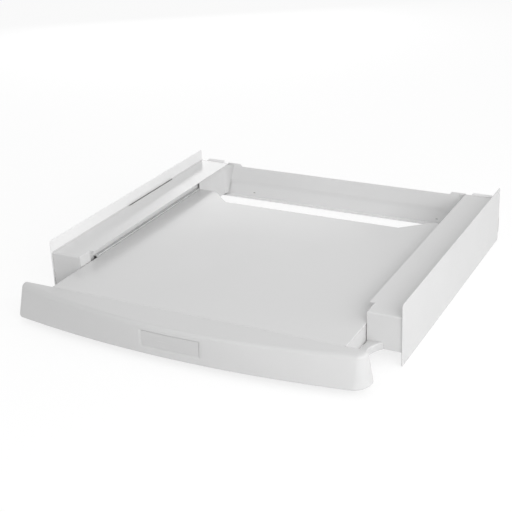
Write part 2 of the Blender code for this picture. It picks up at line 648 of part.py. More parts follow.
def shelf_panel(material):
    """Folded tray with a cut-back rear edge between two ears."""
    r = BEND_RADIUS
    edge = SHELF_HALF_WIDTH - r
    front = at_depth(SEAT_GAP - MOULDING_REAR) + r
    ear = at_depth(SHELF_EAR_END)
    rear = at_depth(SHELF_REAR_EDGE) - r
    z = at_drop(SHELF_DROP)
    corners = [(-edge, front), (edge, front), (edge, ear), (SHELF_EAR_INNER, ear), (SHELF_REAR_HALF, rear),
               (-SHELF_REAR_HALF, rear), (-SHELF_EAR_INNER, ear), (-edge, ear)]
    bm = bmesh.new()
    a, b, c, _, e, f, _, h = add_panel(bm, [(x, y, z) for x, y in corners])
    down = (0, 0, -1)
    add_flange(bm, a, b, (0, -1, 0), down, SHELF_FRONT_FLANGE, grow=(r, r))
    add_flange(bm, b, c, (1, 0, 0), down, SHELF_FLANGE_HEIGHT)
    add_flange(bm, e, f, (0, 1, 0), down, SHELF_REAR_FLANGE)
    add_flange(bm, h, a, (-1, 0, 0), down, SHELF_FLANGE_HEIGHT)
    made = thicken(new_object("shelf_panel", bm, material), SHELF_SHEET)
    holes = bmesh.new()
    for side in SIDES.values():
        for depth in runner_screw_depths().values():
            place = (at_depth(depth), at_drop(RUNNER_CENTRE_DROP))
            rod(holes, (side * (SHELF_HALF_WIDTH - SHELF_SHEET - OVERRUN), *place),
                (side * (SHELF_HALF_WIDTH + OVERRUN), *place), SCREW_HOLE_RADIUS, SCREW_STEPS)
    flange_back = at_depth(SEAT_GAP - MOULDING_REAR + SHELF_SHEET)
    for x in MOULDING_SCREW_PLACES:
        z = at_drop(MOULDING_SCREW_DROP)
        rod(holes, (x, at_depth(-MOULDING_REAR - OVERRUN), z), (x, flange_back + OVERRUN, z),
            SCREW_HOLE_RADIUS, SCREW_STEPS)
    boolean(made, new_object("shelf_panel_hole_cut", holes, material), "DIFFERENCE")


def stiffener(name, depth, material):
    """Top-hat section across the underside of the shelf panel."""
    brim_z = at_drop(SHELF_UNDERSIDE_DROP + SEAT_GAP) - SHELF_SHEET
    crown_z = brim_z + SHELF_SHEET - STIFFENER_HEIGHT
    half_crown = STIFFENER_CROWN / 2
    half_brim = half_crown + STIFFENER_BRIM
    y = at_depth(depth)
    r = BEND_RADIUS
    path = round_path([(y - half_brim, brim_z), (y - half_crown, brim_z), (y - half_crown, crown_z),
                       (y + half_crown, crown_z), (y + half_crown, brim_z), (y + half_brim, brim_z)],
                      [r, r, r, r], BEND_STEPS)
    swept_sheet(name, path, lambda point, x: (x, point[0], point[1]), -STIFFENER_HALF_LENGTH,
                STIFFENER_HALF_LENGTH, SHELF_SHEET, material)


def bow_outline(half_width, reach, bow_radius, corner_radius):
    """Half of the moulding's plan outline, from the middle of its front round to its rear corner.

    The front is one wide arc, a corner arc of its own radius leads from it to the end face, and the
    end face runs straight back to the rear.
    """
    bow_centre_y = at_depth(-reach) + bow_radius
    swing = math.asin((half_width - corner_radius) / (bow_radius - corner_radius))
    corner_y = bow_centre_y - (bow_radius - corner_radius) * math.cos(swing)
    corner_centre = (half_width - corner_radius, corner_y)
    down = -math.pi / 2
    points = arc((0, bow_centre_y), bow_radius, down, down + swing, BOW_STEPS)
    points += arc(corner_centre, corner_radius, down + swing, 0, MOULDING_CORNER_STEPS)[1:]
    rear_y = at_depth(-MOULDING_REAR)
    points += [(half_width, corner_y + (rear_y - corner_y) * k / END_STEPS)
               for k in range(1, END_STEPS + 1)]
    return points


def moulding_levels():
    """Half outlines of the moulding from its lower edge up to its flat top, each with its height."""
    bottom = bow_outline(BOTTOM_HALF_WIDTH, BOW_REACH, BOTTOM_BOW_RADIUS, BOTTOM_CORNER_RADIUS)
    crease = bow_outline(CREASE_HALF_WIDTH, CREASE_REACH, CREASE_BOW_RADIUS, CREASE_CORNER_RADIUS)
    rim = bow_outline(BOTTOM_HALF_WIDTH - BOTTOM_EDGE_RADIUS, BOW_REACH - BOTTOM_EDGE_RADIUS,
                      BOTTOM_BOW_RADIUS, BOTTOM_CORNER_RADIUS)
    bottom_z = at_drop(MOULDING_DROP)
    crease_z = at_drop(CREASE_DROP)
    face_z = bottom_z + BOTTOM_EDGE_RADIUS
    levels = [(bottom_z, rim), (face_z, bottom)]
    for share in FACE_LEVEL_SHARES:
        between = [Vector(low).lerp(Vector(high), share).to_tuple() for low, high in zip(bottom, crease)]
        levels.append((face_z + (crease_z - face_z) * share, between))
    levels.append((crease_z, crease))
    rise = CREASE_DROP - SHELF_DROP
    for step in range(1, TOP_ROUND_STEPS + 1):
        angle = math.pi / 2 * step / TOP_ROUND_STEPS
        inset = 1 - math.cos(angle)
        levels.append((crease_z + rise * math.sin(angle), top_round(crease, inset)))
    return levels


def top_round(crease, inset):
    """The crease outline drawn in by the moulding's top round, which is widest at the front corners."""
    drawn_in = []
    corner_end = BOW_STEPS + MOULDING_CORNER_STEPS
    for k, (x, y) in enumerate(crease):
        before = crease[max(k - 1, 0)]
        after = crease[min(k + 1, len(crease) - 1)]
        inward = Vector((before[1] - after[1], after[0] - before[0])).normalized()
        if k == 0:
            inward = Vector((0, 1))
        if k <= BOW_STEPS:
            width = TOP_ROUND_CENTRE + (TOP_ROUND_CORNER - TOP_ROUND_CENTRE) * (k / BOW_STEPS) ** 2
        else:
            share = min((k - BOW_STEPS) / (corner_end - BOW_STEPS), 1)
            width = TOP_ROUND_CORNER + (TOP_ROUND_END - TOP_ROUND_CORNER) * share
        if k >= corner_end:
            inward = Vector((-1, 0))
        drawn_in.append((x + inward[0] * width * inset, y + inward[1] * width * inset))
    return drawn_in


def whole_outline(half):
    """Both halves of an outline that is given for its right half, starting at the left rear corner."""
    return [(-x, y) for x, y in half[::-1]] + list(half[1:])


def front_y(x, z):
    """Y of the moulding's front face at a place on it, between its lower edge and its crease."""
    bottom_z = at_drop(MOULDING_DROP) + BOTTOM_EDGE_RADIUS
    share = (z - bottom_z) / (at_drop(CREASE_DROP) - bottom_z)
    bottom = at_depth(-BOW_REACH) + BOTTOM_BOW_RADIUS - math.sqrt(BOTTOM_BOW_RADIUS ** 2 - x ** 2)
    crease = at_depth(-CREASE_REACH) + CREASE_BOW_RADIUS - math.sqrt(CREASE_BOW_RADIUS ** 2 - x ** 2)
    return bottom + (crease - bottom) * share


def moulding_shell(material):
    """Hollow bow-fronted shell, open below: a stack of outlines bridged and closed by a flat top."""
    bm = bmesh.new()
    rows = [[bm.verts.new((x, y, z)) for x, y in whole_outline(half)] for z, half in moulding_levels()]
    count = len(rows[0])
    for low, high in zip(rows, rows[1:]):
        for k in range(count):
            n = (k + 1) % count
            bm.faces.new((low[k], low[n], high[n], high[k]))
    bm.faces.new(rows[-1])
    return thicken(new_object("front_moulding", bm, material), MOULDING_WALL)


def moulding_ribs(material):
    """Upright ribs from wall to wall and the screw bosses on the rear wall."""
    bm = bmesh.new()
    low = at_drop(MOULDING_DROP) + RIB_BOTTOM_CLEARANCE
    high = at_drop(SHELF_DROP) - MOULDING_WALL / 2
    rear = at_depth(-MOULDING_REAR) - MOULDING_WALL / 2
    crease = at_drop(CREASE_DROP)
    for x in [side * share * BOTTOM_HALF_WIDTH for side in SIDES.values() for share in RIB_PLACE_SHARES]:
        outline = [(rear, low), (rear, high), (front_y(x, crease) + TOP_ROUND_CORNER, high),
                   (front_y(x, crease) + MOULDING_WALL / 2, crease - MOULDING_WALL),
                   (front_y(x, low) + MOULDING_WALL / 2, low)]
        prism(bm, outline, x - RIB_THICKNESS / 2, x + RIB_THICKNESS / 2,
              lambda point, across: (across, *point))
    z = at_drop(MOULDING_SCREW_DROP)
    for x in MOULDING_SCREW_PLACES:
        rod(bm, (x, rear, z), (x, at_depth(-MOULDING_REAR - BOSS_LENGTH), z), BOSS_RADIUS, BOSS_STEPS)
    return new_object("front_moulding_ribs", bm, material)


def arm_sections(wall=0):
    """Sections of the right arm from its stop to its root, each round the four corners of the arm.

    The inner side runs straight along the shelf and the outer side is drawn in to a waist. With a
    wall the sections are those of the arm's hollow, which is open below and closed at both ends.
    """
    stop_y = at_depth(FACE_SETBACK - SEAT_GAP)
    root_y = at_depth(-MOULDING_REAR) - MOULDING_WALL / 2
    hollow_root_y = at_depth(-MOULDING_REAR) + ARM_ROOT_CLEARANCE
    first, last = (stop_y - wall, hollow_root_y) if wall else (stop_y, root_y)
    inner = SHELF_HALF_WIDTH + ARM_FLANGE_GAP + wall
    low = at_drop(ARM_BOTTOM_DROP)
    high = low + ARM_HEIGHT - wall
    foot = low - OVERRUN if wall else low
    for k in range(ARM_STEPS + 1):
        y = first + (last - first) * k / ARM_STEPS
        share = (y - stop_y) / (root_y - stop_y)
        straight = ARM_STOP_WIDTH + (ARM_ROOT_WIDTH - ARM_STOP_WIDTH) * share
        skew = share ** (math.log(1 / 2) / math.log(ARM_WAIST_SHARE))
        outer = FACE_INNER_X + straight - ARM_WAIST_OFFSET * 2 * math.sin(math.pi * skew) - wall
        yield (inner, y, foot), (inner, y, high - ARM_INNER_FALL), (outer, y, high), (outer, y, foot)


def add_arms(bm, wall=0):
    """Both arms, or their hollows, as sections joined one to the next."""
    for side in SIDES.values():
        rings = [[bm.verts.new((side * x, y, z)) for x, y, z in section] for section in arm_sections(wall)]
        faces = [bm.faces.new(rings[0]), bm.faces.new(rings[-1])]
        for near, far in zip(rings, rings[1:]):
            for a, b, c, d in zip(near, near[1:] + near[:1], far[1:] + far[:1], far):
                faces.append(bm.faces.new((a, b, c, d)))
        bmesh.ops.recalc_face_normals(bm, faces=faces)


def moulding_arms(material):
    """Both arms: low bars whose tops slope down towards the shelf."""
    bm = bmesh.new()
    add_arms(bm)
    return new_object("front_moulding_arms", bm, material)


def moulding_cuts(material):
    """Screw holes in the bosses, the arms' hollows and the shallow recess for the inlay."""
    bm = bmesh.new()
    z = at_drop(MOULDING_SCREW_DROP)
    for x in MOULDING_SCREW_PLACES:
        rod(bm, (x, at_depth(OVERRUN - MOULDING_REAR), z),
            (x, at_depth(-MOULDING_REAR - SCREW_BITE - SEAT_GAP), z), SCREW_HOLE_RADIUS, SCREW_STEPS)
    add_arms(bm, ARM_WALL)
    curved_slab(bm, 0, -OVERRUN, INLAY_RECESS)
    return new_object("front_moulding_cuts", bm, material)


def curved_slab(bm, margin, front, back):
    """A slab that follows the moulding's front face between two offsets from it, smaller by a margin."""
    half = INLAY_WIDTH / 2 - margin
    high = at_drop(INLAY_TOP_DROP) - margin
    low = at_drop(INLAY_TOP_DROP + INLAY_HEIGHT) + margin
    stations = [half * (2 * k / INLAY_STEPS - 1) for k in range(INLAY_STEPS + 1)]
    rows = [[bm.verts.new((x, front_y(x, z) + offset, z)) for x in stations]
            for z, offset in ((low, front), (high, front), (high, back), (low, back))]
    faces = []
    for near, far in zip(rows, rows[1:] + rows[:1]):
        for a, b, c, d in zip(near, near[1:], far[1:], far):
            faces.append(bm.faces.new((a, b, c, d)))
    faces.append(bm.faces.new([row[0] for row in rows]))
    faces.append(bm.faces.new([row[-1] for row in rows]))
    bmesh.ops.recalc_face_normals(bm, faces=faces)


def front_moulding(material):
    """The shell with its ribs, bosses and arms joined on, then the holes and the recess cut."""
    made = moulding_shell(material)
    boolean(made, moulding_ribs(material), "UNION")
    boolean(made, moulding_arms(material), "UNION")
    boolean(made, moulding_cuts(material), "DIFFERENCE")
    smooth(made)


def inlay(material):
    """Blank strip that lies in the recess of the moulding's front face."""
    bm = bmesh.new()
    curved_slab(bm, SEAT_GAP, INLAY_RECESS - SEAT_GAP - INLAY_THICKNESS, INLAY_RECESS - SEAT_GAP)
    new_object("front_inlay", bm, material)


def screw(name, seat, direction, length, material):
    """Pan-head screw: its head stands on the seat point and its shank runs the given way."""
    r = SCREW_HEAD_ROUND
    profile = [(0, -SCREW_HEAD_HEIGHT), (SCREW_HEAD_RADIUS - r, -SCREW_HEAD_HEIGHT),
               (SCREW_HEAD_RADIUS, r - SCREW_HEAD_HEIGHT), (SCREW_HEAD_RADIUS, 0), (SCREW_RADIUS, 0),
               (SCREW_RADIUS, length), (0, length)]
    turn = Vector(direction).to_track_quat("Z", "Y").to_matrix().to_4x4()
    place = Matrix.Translation(seat) @ turn
    bm = bmesh.new()
    rings = []
    for radius, height in profile:
        if radius == 0:
            rings.append([bm.verts.new(place @ Vector((0, 0, height)))])
            continue
        angles = [2 * math.pi * k / SCREW_STEPS for k in range(SCREW_STEPS)]
        rings.append([bm.verts.new(place @ Vector((radius * math.cos(a), radius * math.sin(a), height)))
                      for a in angles])
    faces = []
    for low, high in zip(rings, rings[1:]):
        for k in range(SCREW_STEPS):
            n = (k + 1) % SCREW_STEPS
            corners = [low[k % len(low)], low[n % len(low)], high[n % len(high)], high[k % len(high)]]
            faces.append(bm.faces.new(dict.fromkeys(corners)))
    bmesh.ops.recalc_face_normals(bm, faces=faces)
    smooth(new_object(name, bm, material))


def screws(material):
    """All screws of the frame, the runners and the moulding."""
    for name, side, drop, front in cross_screws():
        seat = cross_screw_place(side, drop, front + FRAME_SHEET + SEAT_GAP)
        screw("cross_screw_" + name, seat, (0, -1, 0), SCREW_BITE, material)
    for label, side in SIDES.items():
        for end, depth in runner_screw_depths().items():
            place = (at_depth(depth), at_drop(RUNNER_CENTRE_DROP))
            name = "_".join(("runner_screw", label, end))
            inward = (-side, 0, 0)
            seat = (side * (WEB_X + FRAME_SHEET + SEAT_GAP), *place)
            screw(name + "_outer", seat, inward, FRAME_SHEET + RUNNER_SCREW_BITE / 2, material)
            seat = (side * (RUNNER_BACK_X + RUNNER_SHEET + SEAT_GAP), *place)
            screw(name + "_inner", seat, inward, RUNNER_SHEET + SHELF_SHEET + RUNNER_SCREW_BITE, material)
    for k, x in enumerate(MOULDING_SCREW_PLACES):
        seat = (x, at_depth(SEAT_GAP - MOULDING_REAR + SHELF_SHEET + SEAT_GAP), at_drop(MOULDING_SCREW_DROP))
        screw("moulding_screw_" + str(k + 1), seat, (0, -1, 0), SHELF_SHEET + SCREW_BITE, material)


def build():
    """Makes every piece."""
    enamel = finish("white_enamel", (0.80, 0.80, 0.79), 0.35, 0)
    wall_enamel = finish("white_wall_enamel", (0.86, 0.86, 0.86), 0.35, 0)
    plastic = finish("white_plastic", (0.76, 0.76, 0.75), 0.30, 0)
    inlay_finish = finish("pale_inlay", (0.70, 0.70, 0.70), 0.45, 0)
    zinc = finish("zinc_steel", (0.62, 0.63, 0.65), 0.30, 1)
    bearing = finish("bearing_steel", (0.50, 0.51, 0.52), 0.20, 1)
    rubber = finish("grey_rubber", (0.12, 0.12, 0.12), 0.80, 0)
    for label, side in SIDES.items():
        side_wall(label, side, wall_enamel)
        top_channel(label, side, enamel)
        base_plate(label, side, enamel)
        runner_bracket(label, side, enamel)
        outer_member(label, side, zinc)
        inner_member(label, side, zinc)
        ball_cage(label, side, bearing)
        runner_stop(label, side, rubber)
        rubber_pad(label + "_front_pad", side, PAD_INSET, rubber)
        rubber_pad(label + "_rear_pad", side, RAIL_DEPTH - PAD_INSET, rubber)
    crossmember(enamel)
    shelf_panel(enamel)
    for name, depth in zip(("front_stiffener", "rear_stiffener"), STIFFENER_PLACES):
        stiffener(name, depth, enamel)
    front_moulding(plastic)
    inlay(inlay_finish)
    screws(zinc)


for old in list(bpy.data.objects):
    bpy.data.objects.remove(old)
build()
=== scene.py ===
"""Washer dryer stacking kit: the dressed model, put together in the order of its assembly.

Metres, +Z up, +X to the right, the front towards -Y, floor at z = 0. Each paired piece is worked
out for the right side and mirrored by the sign of its side.
"""

import math

import bmesh
import bpy
import numpy as np
from mathutils import Matrix


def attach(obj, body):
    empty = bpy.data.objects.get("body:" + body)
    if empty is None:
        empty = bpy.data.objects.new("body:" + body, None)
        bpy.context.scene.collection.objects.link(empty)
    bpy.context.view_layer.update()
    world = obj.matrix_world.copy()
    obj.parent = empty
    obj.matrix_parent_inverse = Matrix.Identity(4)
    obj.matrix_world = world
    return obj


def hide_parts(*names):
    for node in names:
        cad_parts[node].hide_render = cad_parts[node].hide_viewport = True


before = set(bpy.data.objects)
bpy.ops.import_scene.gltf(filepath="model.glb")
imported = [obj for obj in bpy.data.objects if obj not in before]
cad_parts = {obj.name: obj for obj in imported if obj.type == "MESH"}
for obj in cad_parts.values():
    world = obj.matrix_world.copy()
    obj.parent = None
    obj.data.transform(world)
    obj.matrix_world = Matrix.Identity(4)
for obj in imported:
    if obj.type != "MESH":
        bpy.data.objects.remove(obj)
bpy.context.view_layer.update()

SIDES = {"left": -1, "right": 1}


# Side walls. Plain tall sheets of 1.2 mm steel, sheared with small round corners, deburred and
# powder coated on both faces. The channels, base plates and crossmember hang on them.
WALL_X = 0.300
WALL_THICKNESS = 0.0012
WALL_FRONT = -0.18785
WALL_REAR = 0.30715
WALL_HIGH = 0.098
WALL_CORNER = 0.004
CUT_EDGE_ROUND = 0.0004
LEAST_RADIUS = 0.0001
RANGE_SOCKETS = ("From Min", "From Max", "To Min", "To Max")


def linear(colour):
    """An sRGB hex colour in the linear values that a shader takes."""
    channels = np.array([int(colour[k:k + 2], 16) for k in (1, 3, 5)]) / 255
    curved = ((channels + 0.055) / 1.055) ** 2.4
    return (*np.where(channels <= 0.04045, channels / 12.92, curved), 1.0)


def feed(tree, node, inputs):
    """Gives a node's inputs their values, or links to the sockets or nodes that feed them."""
    for name, value in inputs.items():
        if isinstance(value, bpy.types.Node):
            value = next(socket for socket in value.outputs if not socket.is_unavailable)
        if isinstance(value, bpy.types.NodeSocket):
            tree.links.new(value, node.inputs[name])
        else:
            node.inputs[name].default_value = value


def add(tree, kind, inputs=None, **settings):
    """Adds a shader node with its settings, its values and its links."""
    made = tree.nodes.new("ShaderNode" + kind)
    for name, value in settings.items():
        setattr(made, name, value)
    feed(tree, made, inputs or {})
    return made


def surface_of(name):
    """A new material with its node tree, its shader and the object's own coordinates."""
    made = bpy.data.materials.new(name)
    made.use_nodes = True
    tree = made.node_tree
    return made, tree, tree.nodes["Principled BSDF"], add(tree, "TexCoord").outputs["Object"]


def layered(tree, colour, *layers):
    """A colour with others laid over it, each by a share that its measure moves between two limits.

    A layer is (measure, the measure's limits, the share's limits, colour).
    """
    coat = linear(colour)
    for measure, limits, shares, over in layers:
        share = add(tree, "MapRange", {"Value": measure, **dict(zip(RANGE_SOCKETS, (*limits, *shares)))})
        coat = add(tree, "Mix", {"Factor": share, "A": coat, "B": linear(over)}, data_type="RGBA")
    return coat


def edges_and_corner_shade(tree, radius, distance):
    """Measures of edges and corners: the rounded normal's dot product with the flat one, which falls
    off along edges, and the share of open sky, which falls off in corners."""
    rounded = add(tree, "Bevel", {"Radius": radius}, samples=4)
    flat = add(tree, "NewGeometry").outputs["Normal"]
    turn = add(tree, "VectorMath", {0: rounded, 1: flat}, operation="DOT_PRODUCT")
    return turn, add(tree, "AmbientOcclusion", {"Distance": distance}, samples=4).outputs["AO"]


def finish(tree, shader, coat, gloss, relief, **others):
    """Wires a surface: its colour, its roughness, which is (measure, the measure's limits, the
    roughness's limits), and its relief, which is (strength, distance, height)."""
    measure, limits, ends = gloss
    rough = add(tree, "MapRange", {"Value": measure, **dict(zip(RANGE_SOCKETS, (*limits, *ends)))})
    bump = add(tree, "Bump", dict(zip(("Strength", "Distance", "Height"), relief)))
    feed(tree, shader, {"Base Color": coat, "Roughness": rough, "Normal": bump,
                        **{name.replace("_", " "): value for name, value in others.items()}})


def powder_coat(name, colour, thin_colour, roughness, specular=0.5):
    """Powder coat on sheet steel: baked polyester, satin, with orange peel of 1.6 mm pitch.

    Its tone and gloss drift over 110 mm. It drapes thinner over cut edges, which read a touch greyer,
    carries pale flecks 4 mm apart, drawn coarser than real ones, and is darker where corners hide the
    open sky: painted shade, with faint dust.
    """
    made, tree, shader, place = surface_of(name)
    peel = add(tree, "TexNoise", {"Vector": place, "Scale": 620.0, "Detail": 2.0, "Roughness": 0.45})
    drift = add(tree, "TexNoise", {"Vector": place, "Scale": 9.0, "Detail": 3.0, "Roughness": 0.55})
    speck = add(tree, "TexVoronoi", {"Vector": place, "Scale": 260.0})
    edge, corner = edges_and_corner_shade(tree, 0.0006, 0.012)
    coat = layered(tree, colour, (drift, (0.3, 0.7), (0, 0.16), thin_colour),
                   (edge, (0.985, 0.80), (0, 0.8), thin_colour),
                   # painted shade: the coat turns darker where corners hide the open sky, with faint dust
                   (corner, (0.75, 0.25), (0, 0.22), "#bcbab6"), (speck, (0, 0.055), (0.25, 0), "#cac9c7"))
    finish(tree, shader, coat, (drift, (0.3, 0.7), (roughness - 0.04, roughness + 0.05)),
           (0.35, 0.00006, peel), IOR=1.5, Specular_IOR_Level=specular)
    return made


def xyz(x, y, z):
    """Points from their three coordinates, each an array or one number for all."""
    return np.stack(np.broadcast_arrays(x, y, z), axis=-1).astype(float)


def in_scene(name, data):
    """An object of the scene that shows the data."""
    made = bpy.data.objects.new(name, data)
    bpy.context.scene.collection.objects.link(made)
    return made


def mesh_piece(name, patches, material, facing=None, caps=(), sharp=None, merge=0.000002):
    """A piece from grids of points: each cell of a grid is a face, and edges that meet are joined.

    A patch is (points, kept cells, closed), where closed joins its last column to its first. caps
    are outlines that get one flat face each, and facing is the way the open sheet looks on the whole.
    Edges turn sharp from the angle sharp on, in degrees.
    """
    points, faces, count = [], [], 0
    for grid, kept, closed in patches:
        rows, columns = grid.shape[:2]
        index = count + np.arange(rows * columns).reshape(rows, columns)
        if closed:
            index = np.hstack([index, index[:, :1]])
        cells = np.stack([index[:-1, :-1], index[1:, :-1], index[1:, 1:], index[:-1, 1:]], axis=-1)
        faces += (cells[kept] if kept is not None else cells.reshape(-1, 4)).tolist()
        points.append(grid.reshape(-1, 3))
        count += rows * columns
    for outline in caps:
        faces.append(list(range(count, count + len(outline))))
        points.append(np.asarray(outline))
        count += len(outline)
    mesh = bpy.data.meshes.new(name)
    mesh.from_pydata(np.vstack(points).tolist(), [], faces)
    bm = bmesh.new()
    bm.from_mesh(mesh)
    bmesh.ops.remove_doubles(bm, verts=bm.verts, dist=merge)
    bmesh.ops.recalc_face_normals(bm, faces=bm.faces)
    if facing is not None:
        whole_area = np.sum([np.array(face.normal) * face.calc_area() for face in bm.faces], axis=0)
        if whole_area @ np.array(facing, float) < 0:
            bmesh.ops.reverse_faces(bm, faces=bm.faces)
    bm.to_mesh(mesh)
    bm.free()
    mesh.shade_smooth()
    if sharp:
        mesh.set_sharp_from_angle(angle=math.radians(sharp))
    mesh.materials.append(material)
    return in_scene(name, mesh)


def place_on(piece, body, slot, *nodes):
    """The piece rides a body and stands for its solids. The slot is not used."""
    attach(piece, body)
    if nodes:
        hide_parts(*nodes)


def rounded_outline(low, high, radius, steps=8):
    """Closed outline of a rectangle: corner k is a quarter circle about a centre set in by radius."""
    (a, b), (c, d) = low, high
    centres = np.array([(c - radius, b + radius), (c - radius, d - radius), (a + radius, d - radius),
                        (a + radius, b + radius)])
    angles = np.radians(-90 + 90 * (np.arange(4)[:, None] + np.linspace(0, 1, steps + 1)))
    circle = np.stack([np.cos(angles), np.sin(angles)], axis=-1) * radius
    return (centres[:, None] + circle).reshape(-1, 2)


def plate_rows(thickness, rounding, steps=3, land=2.5):
    """Inset and depth of each row round a plate's rim: a quarter circle at each face, inside a flat
    land that is as wide as so many roundings."""
    angles = np.linspace(0, math.pi / 2, steps + 1)
    inset = rounding * np.concatenate([[land], 1 - np.sin(angles)])
    depth = rounding * np.concatenate([[0], 1 - np.cos(angles)])
    return np.concatenate([inset, inset[::-1]]), np.concatenate([depth, thickness - depth[::-1]])


def rounded_plate(name, low, high, corner, thickness, rounding, place, material):
    """A plate: its outline carried round its rim, row by row, and one flat face at each side.

    place turns the outline's two coordinates and the depth into x, y and z."""
    rows = []
    for inset, depth in zip(*plate_rows(thickness, rounding)):
        radius = max(corner - inset, LEAST_RADIUS)
        outline = rounded_outline(np.add(low, inset), np.subtract(high, inset), radius)
        rows.append(xyz(*place(*outline.T, depth)))
    return mesh_piece(name, [(np.array(rows), None, True)], material, caps=(rows[0], rows[-1]))


# Painted light: both walls have one white coat. The right wall faces the side lamp, so its white
# is mixed a step deeper to offset that light, and the left one's is mixed lighter to offset its shade.
WALL_WHITE_LIT_AND_SHADED = {"left": ("#fafafa", "#ececec"), "right": ("#dadada", "#cdcdcd")}
for label, side in SIDES.items():
    wall_coat = powder_coat("powder_coat_white_wall_" + label, *WALL_WHITE_LIT_AND_SHADED[label], 0.34, specular=0.3)
    wall = rounded_plate(
        label + "_wall", (WALL_FRONT, 0), (WALL_REAR, WALL_HIGH), WALL_CORNER, WALL_THICKNESS,
        CUT_EDGE_ROUND, lambda a, b, depth: (side * (WALL_X - depth), a, b), wall_coat)
    place_on(wall, "frame", "wall_enamel", label + "_side_wall")


# Top channels. Each is one blank of 1.2 mm steel whose seat plate carries the dryer: folded down at
# the outside, rear and front, with a notch behind the front tab and a relief slot along the fold.
SHEET = 0.0012
BEND = 0.0018
TIGHT_BEND = 0.0012
GAP = 0.0003
DEBURRED = 0.00025
SEAT_Z = 0.077
CHANNEL_OUTER_X = WALL_X - WALL_THICKNESS - GAP
CHANNEL_INNER_X = 0.246
LIP_X = 0.2385
CHANNEL_FRONT = -0.18535
NOTCH_Y = -0.15535
FRONT_FACE_HEIGHT = 0.055
FRONT_TAB_HEIGHT = 0.0185
SIDE_FOLD_HEIGHT = 0.014
REAR_FOLD_HEIGHT = 0.020
SLOT_Y = (0.03865, 0.18865)
SLOT_WIDTH = 0.003
SLOT_DROP = 0.003
SUPPORT = 0.0012  # how far a row of points stands off an edge, to hold it crisp
SLACK = 0.000001
DOWN, UP = (0, 0, -1), (0, 0, 1)


def stations(*places):
    """Places along one direction, in order and each given once."""
    return np.unique(np.round(np.concatenate([np.atleast_1d(p) for p in places]), 7))


def kept_cells(first, second, cuts):
    """Which cells of a grid stay: those whose middles lie in none of the cut rectangles."""
    a = ((first[:-1] + first[1:]) / 2)[:, None]
    b = ((second[:-1] + second[1:]) / 2)[None]
    kept = np.ones((len(first) - 1, len(second) - 1), bool)
    for (a0, a1), (b0, b1) in cuts:
        kept &= ~((a > a0) & (a < a1) & (b > b0) & (b < b1))
    return kept


def flat_panel(xs, ys, z, cuts=()):
    """A level panel: the point at x and y lies at height z."""
    return xyz(xs[:, None], ys, z), kept_cells(xs, ys, cuts), False


def fold(edge, outward, turn, length, widen=(0, 0), cuts=(), extra=(), radius=BEND, steps=8):
    """A flange off a sheet's edge: a quarter circle, then straight down to its length.

    At angle a the edge has moved out by radius * sin(a) and down by radius * (1 - cos(a)). widen
    draws the flange's two ends out along the edge by a share sin(a), to close a corner.
    """
    angles = np.linspace(0, math.pi / 2, steps + 1)
    flat = stations(radius + SUPPORT, length - SUPPORT, length, extra)
    out = np.concatenate([radius * np.sin(angles), np.full(len(flat), radius)])
    down = np.concatenate([radius * (1 - np.cos(angles)), flat])
    grid = (edge[:, None] + out[None, :, None] * np.array(outward, float)
            + down[None, :, None] * np.array(turn, float))
    along = edge[-1] - edge[0]
    along = along / np.linalg.norm(along)
    grid[0] -= along * widen[0] * (out / radius)[:, None]
    grid[-1] += along * widen[1] * (out / radius)[:, None]
    run = np.concatenate([[0], np.cumsum(np.linalg.norm(np.diff(edge, axis=0), axis=1))])
    return grid, kept_cells(run, down, cuts), False


def mirrored(patches, side):
    """The patches of a right-hand piece, turned over to the given side."""
    return [(grid * (side, 1, 1), kept, closed) for grid, kept, closed in patches]


def sheet_piece(name, patches, material, facing, thickness, edge=DEBURRED, segments=2, angle=50, caps=()):
    """A piece of sheet: solid behind the side that it faces, each edge sharper than angle rounded."""
    piece = mesh_piece(name, patches, material, facing, caps)
    solid = piece.modifiers.new("thickness", "SOLIDIFY")
    solid.thickness, solid.offset, solid.use_even_offset = thickness, -1, True
    bevel = piece.modifiers.new("edges", "BEVEL")
    bevel.width, bevel.segments, bevel.harden_normals = edge, segments, True
    bevel.limit_method, bevel.angle_limit = "ANGLE", math.radians(angle)
    return piece


# Glossier than the walls: the seats mirror a soft band of the backdrop along the rails.
channel_coat = powder_coat("powder_coat_white_channel", "#e2e2e2", "#d3d3d3", 0.18)
for label, side in SIDES.items():
    inner, outer = CHANNEL_INNER_X + BEND, CHANNEL_OUTER_X - TIGHT_BEND
    front, rear = CHANNEL_FRONT + BEND, WALL_REAR - BEND
    slot_x = CHANNEL_OUTER_X - SLOT_WIDTH
    xs = stations(LIP_X, LIP_X + SUPPORT, inner, inner + SUPPORT, slot_x, outer - SUPPORT, outer)
    ys = stations(front, front + SUPPORT, NOTCH_Y, NOTCH_Y + SUPPORT, SLOT_Y, rear - SUPPORT, rear)
    front_xs = xs[xs >= inner - SLACK]
    tab_ys = ys[ys <= NOTCH_Y + SLACK]
    slot_run = tuple(np.array(SLOT_Y) - front)
    patches = [
        flat_panel(xs, ys, SEAT_Z, [((0, inner), (front, NOTCH_Y)), ((slot_x, outer), SLOT_Y)]),
        fold(xyz(front_xs, front, SEAT_Z), (0, -1, 0), DOWN, FRONT_FACE_HEIGHT, widen=(BEND, TIGHT_BEND)),
        fold(xyz(outer, ys, SEAT_Z), (1, 0, 0), DOWN, SIDE_FOLD_HEIGHT, extra=SLOT_DROP,
             cuts=[(slot_run, (0, SLOT_DROP))], radius=TIGHT_BEND),
        fold(xyz(xs, rear, SEAT_Z), (0, 1, 0), DOWN, REAR_FOLD_HEIGHT),
        fold(xyz(inner, tab_ys, SEAT_Z), (-1, 0, 0), DOWN, FRONT_TAB_HEIGHT),
    ]
    channel = sheet_piece(label + "_channel", mirrored(patches, side), channel_coat, UP, SHEET)
    place_on(channel, "frame", "enamel", label + "_top_channel")


